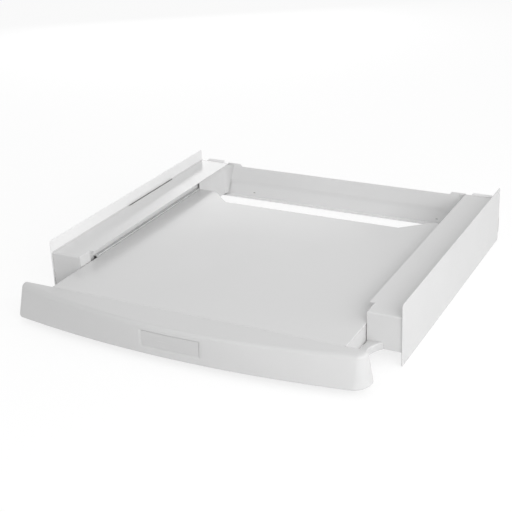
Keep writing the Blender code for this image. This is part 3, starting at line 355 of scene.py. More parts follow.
# Paint beads. Where a channel's side fold lies against its wall, the powder coat has flowed together
# in the oven and fills the crevice with a soft hollow bead, before and behind the relief slot.
BEAD_WIDTH = 0.0024
BEAD_HEIGHT = 0.0012
BEAD_CLEAR = 0.00003
BEAD_BEND_ANGLES = (25, 90)
BEAD_SHARP = 50
share = np.linspace(0, 1, 9)
wall_face = WALL_X - WALL_THICKNESS - BEAD_CLEAR
hollow_z = SEAT_Z + BEAD_CLEAR * 2 + BEAD_HEIGHT * share ** 3
turn = np.radians(np.linspace(*BEAD_BEND_ANGLES, 6))
section = np.vstack([
    np.column_stack([wall_face - BEAD_WIDTH * (1 - share), hollow_z]),
    [(wall_face, SEAT_Z - TIGHT_BEND)],
    np.column_stack([CHANNEL_OUTER_X - TIGHT_BEND + (TIGHT_BEND + BEAD_CLEAR) * np.cos(turn),
                     SEAT_Z - TIGHT_BEND + (TIGHT_BEND + BEAD_CLEAR) * np.sin(turn)])])
for label, side in SIDES.items():
    runs, ends = [], []
    for first, last in ((CHANNEL_FRONT + BEND, SLOT_Y[0]), (SLOT_Y[1], WALL_REAR - BEND)):
        ys = np.array([first, first + SUPPORT, last - SUPPORT, last])
        run = xyz(side * section[:, 0], ys[:, None], section[:, 1])
        runs.append((run, None, True))
        ends += [run[0], run[-1]]
    bead = mesh_piece(label + "_paint_bead", runs, channel_coat, caps=ends, sharp=BEAD_SHARP)
    place_on(bead, "frame", "enamel")


# Base plates. Flanges of the same coated sheet that lie on the washer, turned up along the wall and
# the rear, with a low lip at the inner side and the inner rear corner cut away.
BASE_Z = 0.022
BASE_INNER_X = 0.231
BASE_LIP_HEIGHT = 0.006
BASE_RELIEF = (0.2495, 0.198)
FAR = 1  # beyond every edge
# Satin like the walls, so that the plates stay quiet beneath the shelf.
base_coat = powder_coat("powder_coat_white_base", "#e2e2e2", "#d2d2d2", 0.33)
for label, side in SIDES.items():
    inner, outer = BASE_INNER_X + BEND, CHANNEL_OUTER_X - BEND
    front, rear = CHANNEL_FRONT + SHEET + GAP, WALL_REAR - BEND
    xs = stations(inner, inner + SUPPORT, BASE_RELIEF[0], outer - SUPPORT, outer)
    ys = stations(front, front + SUPPORT, BASE_RELIEF[1], rear - SUPPORT, rear)
    rear_xs = xs[xs >= BASE_RELIEF[0] - SLACK]
    lip_ys = ys[ys <= BASE_RELIEF[1] + SLACK]
    patches = [
        flat_panel(xs, ys, BASE_Z, [((0, BASE_RELIEF[0]), (BASE_RELIEF[1], FAR))]),
        fold(xyz(rear_xs, rear, BASE_Z), (0, 1, 0), UP, REAR_FOLD_HEIGHT),
        fold(xyz(outer, ys, BASE_Z), (1, 0, 0), UP, SIDE_FOLD_HEIGHT),
        fold(xyz(inner, lip_ys, BASE_Z), (-1, 0, 0), UP, BASE_LIP_HEIGHT),
    ]
    base = sheet_piece(label + "_base", mirrored(patches, side), base_coat, DOWN, SHEET)
    place_on(base, "frame", "enamel", label + "_base_plate")


# Runner brackets. C-sections bent from coated strip, spot welded between base plate and seat plate;
# their webs carry the runners, and each web ends in a tail that reaches the crossmember.
BRACKET_Y = (-0.15185, 0.3055)
BRACKET_TAIL_Y = 0.3070
BRACKET_TAIL_Z = (0.0425, 0.0560)
BRACKET_FLANGE = 0.012
WEB_X = 0.2533


def round_corners(points, radii, steps=8):
    """A section path whose inner corners are circles: corner k is rounded by radius k."""
    points = np.asarray(points, float)
    path = [points[:1]]
    for before, corner, after, radius in zip(points, points[1:], points[2:], radii):
        a = (before - corner) / np.linalg.norm(before - corner)
        b = (after - corner) / np.linalg.norm(after - corner)
        half = math.acos(np.clip(a @ b, -1, 1)) / 2
        centre = corner + (a + b) / np.linalg.norm(a + b) * radius / math.sin(half)
        first = corner + a * radius / math.tan(half) - centre
        last = corner + b * radius / math.tan(half) - centre
        swing = math.pi - 2 * half
        t = np.linspace(0, 1, steps + 1)[:, None]
        path.append(centre + (np.sin((1 - t) * swing) * first + np.sin(t * swing) * last) / math.sin(swing))
    return np.vstack([*path, points[-1:]])


def with_support(path):
    """The same path with a point close to each end of its long straight stretches."""
    made = [path[:1]]
    for a, b in zip(path, path[1:]):
        length = np.linalg.norm(b - a)
        if length > 4 * SUPPORT:
            step = (b - a) / length * SUPPORT
            made.append(np.array([a + step, b - step]))
        made.append(b[None])
    return np.vstack(made)


# Painted light: the same white coat, mixed a step whiter than the base plates' to offset the shade,
# as the brackets are lit only through the gaps round the shelf.
bracket_coat = powder_coat("powder_coat_white_bracket", "#e8e8e8", "#dadada", 0.34)
low, high, tip_x = BASE_Z + SHEET + GAP, SEAT_Z - SHEET - GAP, WEB_X + BRACKET_FLANGE
path = with_support(round_corners([(tip_x, low), (WEB_X, low), (WEB_X, high), (tip_x, high)], (BEND, BEND)))
tail = [(WEB_X, z) for z in BRACKET_TAIL_Z]
path = np.insert(path, np.searchsorted(path[:, 1], BRACKET_TAIL_Z), tail, axis=0)
ys = stations(BRACKET_Y[0], BRACKET_Y[0] + SUPPORT, BRACKET_Y[1] - SUPPORT, BRACKET_Y[1], BRACKET_TAIL_Y)
kept = np.ones((len(ys) - 1, len(path) - 1), bool)
middle_z = (path[:-1, 1] + path[1:, 1]) / 2
kept[-1] = (middle_z > BRACKET_TAIL_Z[0]) & (middle_z < BRACKET_TAIL_Z[1])
for label, side in SIDES.items():
    grid = xyz(side * path[:, 0], ys[:, None], path[:, 1])
    bracket = sheet_piece(label + "_bracket", [(grid, kept, False)], bracket_coat, (-side, 0, 0), SHEET)
    place_on(bracket, "frame", "enamel", label + "_runner_bracket")


# Rear crossmember. A blank of coated sheet pressed with a joggle along its middle and folded to a
# foot at the bottom. Its raised ends and the tabs that lean back from them stand behind the channels.
CROSS_Y = 0.30745
CROSS_LOWER_Y = 0.30995
CROSS_FREE_TOP = 0.0733
CROSS_END_TOP = 0.0782
CROSS_TAB_TOP = 0.0795
CROSS_HIDDEN_TOP = 0.0768
CROSS_STEPS = ((0.209, 0.213), (0.2385, 0.2400), (0.249, 0.251), (0.285, 0.287))
CROSS_MIDDLE = 0.03
TAB_FOLD_Z = 0.0776
TAB_LEAN = 2.8
CROSS_JOGGLE_Z = (0.047, 0.034)
CROSS_BOTTOM_Z = 0.0105
CROSS_FOOT = 0.008
CROSS_HOLE_X = (0.1840, 0.1880)
CROSS_HOLE_Z = (0.0206, 0.0216)


def cross_top(x):
    """Height of the crossmember's top edge: straight ramps between its levels."""
    places = [0, *np.ravel(CROSS_STEPS), WALL_X]
    levels = [CROSS_FREE_TOP, CROSS_END_TOP, CROSS_HIDDEN_TOP, CROSS_TAB_TOP, CROSS_HIDDEN_TOP]
    return np.interp(np.abs(x), places, np.repeat(levels, 2))


# Painted light: the same white coat, mixed lighter than the channels' to offset the shade that the
# crossmember stands in, where it would read too grey.
cross_coat = powder_coat("powder_coat_white_crossmember", "#f6f6f6", "#e8e8e8", 0.33)
half_xs = stations(CROSS_MIDDLE, SUPPORT, CROSS_HOLE_X, np.ravel(CROSS_STEPS), CHANNEL_OUTER_X, WALL_X)
xs = stations(-half_xs, half_xs)
top, bottom = cross_top(xs), CROSS_BOTTOM_Z + SHEET + BEND
share = np.linspace(0, 1, 9)
joggle_z = CROSS_JOGGLE_Z[0] + (CROSS_JOGGLE_Z[1] - CROSS_JOGGLE_Z[0]) * share
joggle_y = CROSS_Y + (CROSS_LOWER_Y - CROSS_Y) * (3 * share ** 2 - 2 * share ** 3)
lean = TAB_LEAN * (np.abs(xs) > CROSS_STEPS[1][1])
rows = [xyz(xs, CROSS_Y + lean * np.maximum(z - TAB_FOLD_Z, 0), z)
        for z in (top, top - SUPPORT, np.minimum(top - 2 * SUPPORT, TAB_FOLD_Z - GAP))]
rows += [xyz(xs, y, z) for y, z in zip(joggle_y, joggle_z)]
rows += [xyz(xs, CROSS_LOWER_Y, z) for z in (CROSS_HOLE_Z[1], CROSS_HOLE_Z[0], bottom + SUPPORT, bottom)]
row_z = np.array([row[0, 2] for row in rows])
kept = kept_cells(-row_z, np.abs(xs), [((-CROSS_HOLE_Z[1], -CROSS_HOLE_Z[0]), CROSS_HOLE_X)])
foot_xs = xs[np.abs(xs) <= CHANNEL_OUTER_X + SLACK]
foot = fold(xyz(foot_xs, CROSS_LOWER_Y, bottom), DOWN, (0, -1, 0), CROSS_FOOT)
patches = [(np.array(rows), kept, False), foot]
crossmember = sheet_piece("crossmember", patches, cross_coat, (0, -1, 0), SHEET)
place_on(crossmember, "frame", "enamel", "rear_crossmember")


# Corner plates. Coated sheet, 0.6 mm thick, that runs inside each bracket's web and bends hollow into
# the crossmember, spot welded to both; the bend opens from a tight radius at the foot to a wide one.
CORNER_X = 0.2485
CORNER_Y = (0.2068, 0.3068)
CORNER_STRAIGHT_Y = (0.2400, 0.2700)
CORNER_Z = (0.0135, 0.0752)
CORNER_RADII = (0.005, 0.022)
CORNER_SHEET = 0.0006
CORNER_EDGE_ROUND = 0.0002
z = stations(CORNER_Z, CORNER_Z[0] + SUPPORT, CORNER_Z[1] - SUPPORT, np.linspace(*CORNER_Z, 7))[:, None]
radius = np.interp(z, CORNER_Z, CORNER_RADII)
turn = np.linspace(0, math.pi / 2, 17)[None]
straight = np.array([[CORNER_Y[0], CORNER_Y[0] + SUPPORT, *CORNER_STRAIGHT_Y]])
x = CORNER_X - np.hstack([0 * z * straight, radius * (1 - np.cos(turn))])
y = np.hstack([straight + 0 * z, CORNER_Y[1] - radius * (1 - np.sin(turn))])
for label, side in SIDES.items():
    corner = sheet_piece(label + "_corner_plate", [(xyz(side * x, y, z), None, False)], bracket_coat,
                         (-side, -1, 0), CORNER_SHEET, edge=CORNER_EDGE_ROUND)
    place_on(corner, "frame", "enamel")


# Screws of the crossmember, the runners and the moulding. Zinc-plated steel pan heads with a cross
# recess, cold formed, with rolled threads. These four hold the crossmember to channels and plates.
HEAD_RADIUS = 0.0038
HEAD_HEIGHT = 0.0020
HEAD_DOME = 0.0005
HEAD_EDGE = 0.0004
RECESS_DEPTH = 0.0011
RECESS_ARM = 0.0021
RECESS_WIDTH = 0.00055
RECESS_FLANKS = (0.00025, 0.0006)
RECESS_RINGS = (0.00005, 0.0024)
RING_OUTSIDE = 0.0026
SHANK_RADIUS = 0.0019
THREAD_PITCH = 0.0007
THREAD_DEPTH = 0.0002
THREAD_STEPS = 8
TIP_LENGTH = 0.0009
TIP_SHARE = 0.25
SCREW_SHARP = 40
CROSS_SCREW_X = 0.262
CROSS_SCREW_LENGTH = 0.008
CROSS_SCREWS = {"upper": (CROSS_Y, 0.065), "lower": (CROSS_LOWER_Y, 0.034)}


def zinc_plate(name, colour, dark_colour, roughness, grain):
    """Bright zinc plate on steel: a metal that mirrors in lines of 1.1 mm pitch, drawn out by grain.

    Its passivation clouds the tone over 14 mm, and crystals of 3 mm break up the reflection. The
    real lines are finer than these, which are as fine as the picture can show.
    """
    made, tree, shader, place = surface_of(name)
    drawn = add(tree, "Mapping", {"Vector": place, "Scale": grain})
    streak = add(tree, "TexNoise", {"Vector": drawn, "Scale": 900.0, "Detail": 3.0})
    cloud = add(tree, "TexNoise", {"Vector": place, "Scale": 70.0, "Detail": 4.0, "Roughness": 0.6})
    crystals = add(tree, "TexVoronoi", {"Vector": place, "Scale": 320.0})
    coat = layered(tree, colour, (cloud, (0.3, 0.7), (0, 1), dark_colour))
    height = add(tree, "Math", {0: streak, 1: crystals}, operation="ADD")
    finish(tree, shader, coat, (streak, (0.25, 0.75), (roughness - 0.07, roughness + 0.10)),
           (0.25, 0.00003, height), Metallic=1.0)
    return made


def pan_head_screw(length):
    """A screw along +z from its seat at 0, as rows of points round its axis.

    Head: z grows from the top with the radius squared, and by a cross that fades over its flanks.
    Rim: a quarter circle, then the flat seat. Shank: the radius is the shank's less a wave of z over
    the pitch less the turn, and it shrinks straight at the tip.
    """
    turn = np.linspace(0, 2 * math.pi, 48, endpoint=False)
    outer_rings = np.linspace(RING_OUTSIDE, HEAD_RADIUS - HEAD_EDGE, 4)
    r = np.concatenate([np.linspace(*RECESS_RINGS, 16), outer_rings])[:, None]
    x, y = r * np.cos(turn), r * np.sin(turn)
    across = np.clip((RECESS_WIDTH - np.minimum(np.abs(x), np.abs(y))) / RECESS_FLANKS[0], 0, 1)
    along = np.clip((RECESS_ARM - np.maximum(np.abs(x), np.abs(y))) / RECESS_FLANKS[1], 0, 1)
    dome = -HEAD_HEIGHT + HEAD_DOME * (r / HEAD_RADIUS) ** 2
    head = xyz(x, y, dome + RECESS_DEPTH * across * along)
    b = np.linspace(0, math.pi / 2, 5)[1:]
    rim_r = np.concatenate([HEAD_RADIUS - HEAD_EDGE * (1 - np.sin(b)), [HEAD_RADIUS, SHANK_RADIUS]])[:, None]
    rim_z = np.concatenate([-HEAD_HEIGHT + HEAD_DOME + HEAD_EDGE * (1 - np.cos(b)), [0, 0]])[:, None]
    rim = xyz(rim_r * np.cos(turn), rim_r * np.sin(turn), rim_z)
    z = np.linspace(0, length, max(int(length / THREAD_PITCH * THREAD_STEPS), 4))[1:, None]
    wave = np.abs((z / THREAD_PITCH - turn / (2 * math.pi)) % 1 * 2 - 1)
    radius = (SHANK_RADIUS - THREAD_DEPTH * wave) * np.clip((length - z) / TIP_LENGTH, TIP_SHARE, 1)
    return np.vstack([head, rim, xyz(radius * np.cos(turn), radius * np.sin(turn), z)])


def screw_piece(node, seat, direction, length, body):
    """Stands a screw on its seat, its shank pointing the given way: its axes are turned to there."""
    toward = np.array(direction, float)
    across = np.cross(toward, (0, 0, 1.0))
    grid = np.array(seat) + pan_head_screw(length) @ np.stack([across, np.cross(toward, across), toward])
    piece = mesh_piece(node + "_dressed", [(grid, None, True)], screw_zinc, caps=(grid[0], grid[-1]),
                       sharp=SCREW_SHARP)
    place_on(piece, body, "zinc_steel", node)


# Bright and cool, so that the heads glint against the white coat.
screw_zinc = zinc_plate("zinc_plated_screw_steel", "#c6c9cc", "#a9adb2", 0.28, (1, 1, 1))
for label, side in SIDES.items():
    for level, (back, z) in CROSS_SCREWS.items():
        screw_piece("cross_screw_" + label + "_" + level, (side * CROSS_SCREW_X, back + SHEET + GAP, z),
                    (0, -1, 0), CROSS_SCREW_LENGTH, "frame")


# Pads.
PAD_SIZE = (0.030, 0.040)
PAD_CORNER = 0.005
PAD_THICKNESS = 0.003
PAD_ROUND = 0.0007
PAD_TOP_Z = BASE_Z - GAP
PAD_X = (BASE_INNER_X + CHANNEL_OUTER_X) / 2
PAD_Y = {"front": -0.14285, "rear": 0.26215}


def moulded_rubber(name, colour, worn_colour):
    """Moulded rubber: dull, mottled by bloom over 17 mm, with the pits of a blasted mould, whose
    0.7 mm pitch is coarser than the real one so that it shows."""
    made, tree, shader, place = surface_of(name)
    pits = add(tree, "TexNoise", {"Vector": place, "Scale": 1400.0, "Detail": 2.0})
    bloom = add(tree, "TexNoise", {"Vector": place, "Scale": 60.0, "Detail": 3.0})
    coat = layered(tree, colour, (bloom, (0.35, 0.7), (0, 1), worn_colour))
    finish(tree, shader, coat, (pits, (0, 1), (0.7, 0.92)), (0.4, 0.00008, pits), IOR=1.52)
    return made


# A dark grey, seen only from below.
pad_rubber = moulded_rubber("moulded_nitrile_rubber", "#3a3b3c", "#4c4d4e")
half = np.array(PAD_SIZE) / 2
for label, side in SIDES.items():
    for end, y in PAD_Y.items():
        centre = np.array([side * PAD_X, y])
        pad = rounded_plate(
            label + "_" + end + "_rubber", centre - half, centre + half, PAD_CORNER, PAD_THICKNESS,
            PAD_ROUND, lambda a, b, depth: (a, b, PAD_TOP_Z - depth), pad_rubber)
        place_on(pad, "frame", "pad_rubber", label + "_" + end + "_pad")


# Painted slot shade. Black strips, shaped as cords of foam rubber cut to length, set from above into
# the relief slots: painted shade, a dark line that stands in for the shade inside each slot.
SLOT_SHADE_X = (0.2957, 0.2983)
SLOT_SHADE_END_GAP = 0.0003
SLOT_SHADE_CORNER = 0.0012
SLOT_SHADE_DEPTH = 0.0026
SLOT_SHADE_ROUND = 0.0004
# Near black: painted shade, so that each slot reads as a dark line along the wall.
slot_shade_black = moulded_rubber("black_painted_slot_shade", "#1e1f20", "#2b2c2d")
for label, side in SIDES.items():
    slot_shade = rounded_plate(
        label + "_painted_slot_shade", (SLOT_SHADE_X[0], SLOT_Y[0] + SLOT_SHADE_END_GAP), (SLOT_SHADE_X[1], SLOT_Y[1] - SLOT_SHADE_END_GAP),
        SLOT_SHADE_CORNER, SLOT_SHADE_DEPTH, SLOT_SHADE_ROUND,
        lambda a, b, depth: (side * a, b, SEAT_Z - SLOT_SHADE_END_GAP - depth), slot_shade_black)
    place_on(slot_shade, "frame", "pad_rubber")


# Blanking plugs. Small grey rubber plugs, moulded and pushed from behind into the two tool holes of
# the crossmember, where their own spring holds them.
PLUG_PLAY = 0.0001
PLUG_CORNER = 0.00035
PLUG_DEPTH = 0.0010
PLUG_ROUND = 0.0001
# A mid grey, so that each plug reads as a small dull mark in the white sheet.
plug_rubber = moulded_rubber("grey_moulded_rubber", "#6a6b6c", "#7b7c7d")
for label, side in SIDES.items():
    (x0, x1), (z0, z1) = sorted((side * CROSS_HOLE_X[0], side * CROSS_HOLE_X[1])), CROSS_HOLE_Z
    plug = rounded_plate(
        label + "_blanking_plug", (x0 + PLUG_PLAY, z0 + PLUG_PLAY), (x1 - PLUG_PLAY, z1 - PLUG_PLAY),
        PLUG_CORNER, PLUG_DEPTH, PLUG_ROUND,
        lambda a, b, depth: (a, CROSS_LOWER_Y + PLUG_PLAY + depth, b), plug_rubber)
    place_on(plug, "frame", "pad_rubber")


# Runner outer members. Cold-rolled strip, zinc plated, whose flanges step down and wrap round the
# two rows of balls; screwed to the brackets through their webs.
RUNNER_X = 0.2403
RUNNER_Z = 0.043
RUNNER_Y = (-0.13785, 0.20215)
RUNNER_WIDTH = 0.0127
RUNNER_HALF_HEIGHT = 0.0175
RUNNER_SHEET = 0.0012
RUNNER_EDGE_ROUND = 0.0002
BALL_RADIUS = 0.00175
BALL_U = 0.0033
BALL_W = 0.0104
RACE_RADIUS = 0.00205
OUTER_RACE_TURN = (150, 60)
SHOULDER_U = 0.0063
SHOULDER_RADII = (0.0008, 0.0025)
RUNNER_SCREW_Y = (-0.09285, 0.15715)
SLOT_PLACES = (-0.1165, -0.058, -0.0225, 0.0125, 0.0475, 0.0825, 0.1175)
SCREW_HOLE = (0.0, 0.0022)
SLOT_HOLE = (0.0035, 0.0021)
HOLE_CELL = 0.0034


def arc(centre, radius, first, last, steps=10):
    """Points of a circle's arc between two angles in degrees."""
    angles = np.radians(np.linspace(first, last, steps + 1))
    return np.array(centre) + radius * np.column_stack([np.cos(angles), np.sin(angles)])


def both_halves(upper):
    """A section given from its free edge to its middle, completed with its mirror image."""
    return np.vstack([upper, (upper * (1, -1))[::-1]])


def hole_ring(half, radius, reach, steps=4):
    """Ring between a cell's rim and the hole in it: a point of the rim slides to the circle at its
    own angle. Above and below the middle both are moved apart by reach, which makes a slot."""
    t = np.linspace(-1, 1, steps + 1)
    tall = np.insert(t, steps // 2, 0.0)
    apart = np.where(np.arange(len(tall)) <= steps // 2, -1, 1)
    one, tall_one = np.ones(steps), np.ones(steps + 1)
    rim = np.concatenate([np.column_stack([t[:-1], -one]), np.column_stack([tall_one, tall[:-1]]),
                          np.column_stack([t[:0:-1], one]), np.column_stack([-tall_one, tall[:0:-1]])])
    shift = np.concatenate([-one, apart[:-1], one, apart[:0:-1]]) * reach
    circle = rim / np.linalg.norm(rim, axis=1)[:, None] * radius
    shares = np.array([0, 0.4, 0.8, 1])[:, None, None]
    ring = rim * half * (1 - shares) + circle * shares
    ring[..., 1] += shift
    return ring


def pierced_section(path, web_u, ends, place, half=HOLE_CELL):
    """A section carried back, with its holes: each leaves out a square of the web, reach longer both
    ways, and a ring fills the square up to the hole's edge."""
    t = np.linspace(-half, half, 5)
    above, below = path[path[:, 1] > half + SLACK], path[path[:, 1] < -half - SLACK]
    path = np.vstack([above, np.column_stack([np.full(5, web_u), t[::-1]]), below])
    holes = [(y, *SCREW_HOLE) for y in RUNNER_SCREW_Y] + [(y, *SLOT_HOLE) for y in SLOT_PLACES]
    spots = [y + sign * reach + t for y, reach, _ in holes for sign in (-1, 1)]
    ys = stations(ends[0], ends[0] + SUPPORT, ends[1] - SUPPORT, ends[1], *spots)
    mid_w = (path[:-1, 1] + path[1:, 1]) / 2
    mid_y = (ys[:-1] + ys[1:]) / 2
    kept = np.ones((len(ys) - 1, len(path) - 1), bool)
    patches = []
    for y, reach, radius in holes:
        kept &= ~((np.abs(mid_y - y) < half + reach)[:, None] & (np.abs(mid_w) < half)[None])
        ring = hole_ring(half, radius, reach)
        web = np.stack([np.full(ring.shape[:2], web_u), ring[..., 0]], axis=-1)
        patches.append((place(web, y + ring[..., 1]), None, True))
    return [(place(path[None], ys[:, None]), kept, False), *patches]


def runner_point(side):
    """Places section points, counted from the shelf's flange and the runner's middle, at depths y."""
    return lambda p, y: xyz(side * (RUNNER_X + p[..., 0]), y, RUNNER_Z + p[..., 1])


# A light, soft metal: the plate is brushed by the rolls, so the runner shows as a pale grey line.
runner_zinc = zinc_plate("zinc_plated_rolled_steel", "#e2e3e3", "#cccdcd", 0.46, (1, 0.03, 1))
race = arc((BALL_U, BALL_W), RACE_RADIUS + RUNNER_SHEET, *OUTER_RACE_TURN)
shoulder = round_corners([race[-1], (SHOULDER_U, RUNNER_HALF_HEIGHT), (RUNNER_WIDTH, RUNNER_HALF_HEIGHT),
                          (RUNNER_WIDTH, 0)], SHOULDER_RADII)
path = both_halves(np.vstack([race, shoulder[1:-1]]))
for label, side in SIDES.items():
    patches = pierced_section(path, RUNNER_WIDTH, RUNNER_Y, runner_point(side))
    outer_member = sheet_piece(label + "_outer_member", patches, runner_zinc, (side, 0, 0), RUNNER_SHEET,
                               edge=RUNNER_EDGE_ROUND)
    place_on(outer_member, "frame", "zinc_steel", label + "_runner_outer")


# Runner stops. Small blocks of black rubber, moulded with soft rims and pressed into the rear ends
# of the outer members, where the inner members come to rest against them.
STOP_LENGTH = 0.005
STOP_HALF_HEIGHT = 0.0075
STOP_CORNER = 0.0015
STOP_DEPTH = 0.0100
STOP_ROUND = 0.0008
# A soft black, hidden but for a glimpse down the runner.
stop_rubber = moulded_rubber("moulded_black_rubber", "#262728", "#353637")
for label, side in SIDES.items():
    stop = rounded_plate(
        label + "_stop", (RUNNER_Y[1] - STOP_LENGTH, RUNNER_Z - STOP_HALF_HEIGHT),
        (RUNNER_Y[1], RUNNER_Z + STOP_HALF_HEIGHT), STOP_CORNER, STOP_DEPTH, STOP_ROUND,
        lambda a, b, depth: (side * (RUNNER_X + RUNNER_SHEET + depth), a, b), stop_rubber)
    place_on(stop, "frame", "pad_rubber", label + "_runner_stop")


# Ball cages. Strips of bright steel that hold two rows of hardened steel balls apart; they roll half
# as far as the shelf slides.
CAGE_Y = (-0.01185, 0.07085)
CAGE_U = (0.0016, 0.0078)
CAGE_CORNER = 0.0015
CAGE_SHEET = 0.0008
CAGE_SUPPORT = 0.0004
CAGE_EDGE_ROUND = 0.00015
BALLS_IN_ROW = 7
LAST_LATITUDE = 1.55


def ball(centre, radius, around=20, rings=12):
    """A sphere as a grid: rings of latitude by longitude, closed round."""
    latitude = np.linspace(-LAST_LATITUDE, LAST_LATITUDE, rings + 1)[:, None]
    longitude = np.linspace(0, 2 * math.pi, around, endpoint=False)[None]
    unit = xyz(np.cos(latitude) * np.cos(longitude), np.cos(latitude) * np.sin(longitude), np.sin(latitude))
    return centre + unit * radius, None, True


# Strip and balls both mirror: the strip in drawn lines, the balls as small bright points.
cage_steel = zinc_plate("bright_cage_steel", "#b9bcbf", "#9a9da1", 0.26, (1, 0.05, 1))
ball_steel = zinc_plate("polished_ball_steel", "#c2c4c6", "#b2b4b7", 0.12, (1, 1, 1))
high = BALL_W + CAGE_SHEET / 2
strip = round_corners([(CAGE_U[0], high), (CAGE_U[1], high), (CAGE_U[1], 0)], (CAGE_CORNER,))
path = both_halves(strip[:-1])
ys = stations(CAGE_Y[0], CAGE_Y[0] + CAGE_SUPPORT, CAGE_Y[1] - CAGE_SUPPORT, CAGE_Y[1])
pitch = (CAGE_Y[1] - CAGE_Y[0]) / BALLS_IN_ROW
for label, side in SIDES.items():
    place = runner_point(side)
    cage = sheet_piece(label + "_cage_strip", [(place(path[None], ys[:, None]), None, False)], cage_steel,
                       (side, 0, 0), CAGE_SHEET, edge=CAGE_EDGE_ROUND)
    place_on(cage, label + "_cage", "bearing_steel", label + "_ball_cage")
    balls = [ball(place(np.array([BALL_U, row * BALL_W]), CAGE_Y[0] + pitch * (k + 0.5)), BALL_RADIUS)
             for row in (-1, 1) for k in range(BALLS_IN_ROW)]
    rows = mesh_piece(label + "_cage_balls", balls, ball_steel,
                      caps=[grid[row] for grid, _, _ in balls for row in (0, -1)])
    place_on(rows, label + "_cage", "bearing_steel", label + "_ball_cage")


# Runner inner members. Shallow zinc-plated channels, cold rolled and grooved for the balls. Screws
# hold each to the shelf's side flange, and others hold its outer member to the bracket.
INNER_REAR_Y = 0.19685
INNER_FLANGE_U = 0.005
INNER_CORNER = 0.0015
GROOVE_TURN = (-60, -120)
RUNNER_SCREWS = (("outer", "frame", WEB_X + SHEET + GAP, 0.0022),
                 ("inner", "shelf", RUNNER_X + RUNNER_SHEET + GAP, 0.0042))
rim = BALL_W - RACE_RADIUS * math.cos(math.radians(90 + GROOVE_TURN[0]))
groove = arc((BALL_U, BALL_W), RACE_RADIUS, *GROOVE_TURN)
back = round_corners([groove[-1], (0, rim), (0, 0)], (INNER_CORNER,))
path = both_halves(np.vstack([[(INNER_FLANGE_U, rim)], groove, back[1:-1]]))
for label, side in SIDES.items():
    patches = pierced_section(path, 0.0, (RUNNER_Y[0], INNER_REAR_Y), runner_point(side))
    inner_member = sheet_piece(label + "_inner_member", patches, runner_zinc, (-side, 0, 0), RUNNER_SHEET,
                               edge=RUNNER_EDGE_ROUND)
    place_on(inner_member, "shelf", "zinc_steel", label + "_runner_inner")
    for end, y in zip(("front", "rear"), RUNNER_SCREW_Y):
        for part, body, seat_x, length in RUNNER_SCREWS:
            screw_piece("_".join(("runner_screw", label, end, part)), (side * seat_x, y, RUNNER_Z),
                        (-side, 0, 0), length, body)


# Shelf panel. One coated sheet of 1 mm steel: a flat tray turned down at the front, at both sides
# over a rounded hem, and along its cut-back rear edge. It hangs on the runners' inner members.
SHELF_SHEET = 0.0010
SHELF_Z = 0.059
SHELF_X = 0.240
SHELF_FRONT = -0.26055
SHELF_EAR_Y = 0.2012
SHELF_REAR_Y = 0.1610
SHELF_EAR_X = 0.213
SHELF_REAR_X = 0.166
SHELF_MIDDLE_X = 0.05
SHELF_SIDE_HEIGHT = 0.032
SHELF_SIDE_BEND = 0.004
SHELF_FRONT_BEND = 0.0008
SHELF_FRONT_HEIGHT = 0.030
SHELF_REAR_HEIGHT = 0.010
REAR_SHARES = (0.25, 0.5, 0.75, 0.997, 1)
HEM_X = 0.2450
HEM_ROUND = 0.0011
HEM_FLARE = 0.0005
HEM_DROPS = (0.0017, 0.0020, 0.0021, 0.0023, 0.0028, 0.0040)
HEM_UNDER = (0, 0.15, 0.5, 0.85, 1, 1, 1, 1, 1, 1)
FLARE = 0.0052
FLARE_Y = (-0.160, -0.150)
FLARE_HEIGHT = 0.0290


def hemmed_side(edge):
    """A side of the tray: over a rounded hem, back in under it by shares of what it stands out, then
    down as a flange, which is cut higher in front."""
    side = np.sign(edge[:, :1])
    flange = np.abs(edge[:, :1]) + SHELF_SIDE_BEND
    turn = np.linspace(0, math.pi / 2, 7)
    levels = [FLARE_HEIGHT - SUPPORT, FLARE_HEIGHT, SHELF_SIDE_HEIGHT - SUPPORT, SHELF_SIDE_HEIGHT]
    drop = np.concatenate([HEM_ROUND * (1 - np.cos(turn)), HEM_DROPS, levels])
    hem = HEM_X + HEM_FLARE * (flange - SHELF_X) / FLARE
    around = hem - HEM_ROUND * (1 - np.sin(turn))
    below = hem - (hem - flange) * np.array(HEM_UNDER)
    z = SHELF_Z - np.concatenate([[0], drop])
    grid = xyz(side * np.hstack([np.abs(edge[:, :1]), around, below]), edge[:, 1:2], z)
    cut = (-FAR, FLARE_Y[1]), (FLARE_HEIGHT - SHELF_Z, FAR)
    return grid, kept_cells(edge[:, 1], -z, [cut]), False


# As glossy as the channels: the tray mirrors the backdrop softly towards its rear.
shelf_coat = powder_coat("powder_coat_white_shelf", "#e0e0e0", "#d1d1d1", 0.20)
edge_x, front = SHELF_X - SHELF_SIDE_BEND, SHELF_FRONT + SHELF_FRONT_BEND
half_xs = stations(SHELF_MIDDLE_X, SHELF_REAR_X, SHELF_EAR_X, edge_x - SUPPORT, edge_x)
xs = stations(-half_xs, half_xs)[:, None]
back_y = np.interp(np.abs(xs), (0, SHELF_REAR_X, SHELF_EAR_X, SHELF_X),
                   (SHELF_REAR_Y - BEND,) * 2 + (SHELF_EAR_Y,) * 2)
fore_ys = np.concatenate([[front, front + SUPPORT], np.linspace(*FLARE_Y, 7)])
ys = np.hstack([np.broadcast_to(fore_ys, (len(xs), len(fore_ys))),
                FLARE_Y[1] + (back_y - FLARE_Y[1]) * np.array(REAR_SHARES)])
flared = np.clip((FLARE_Y[1] - ys) / (FLARE_Y[1] - FLARE_Y[0]), 0, 1)
flared = FLARE * flared ** 2 * (3 - 2 * flared) * (np.abs(xs) > SHELF_EAR_X + SUPPORT)
tray = xyz(xs + np.sign(xs) * flared, ys, SHELF_Z)
rear_edge = tray[np.abs(xs[:, 0]) <= SHELF_REAR_X + SLACK, -1]
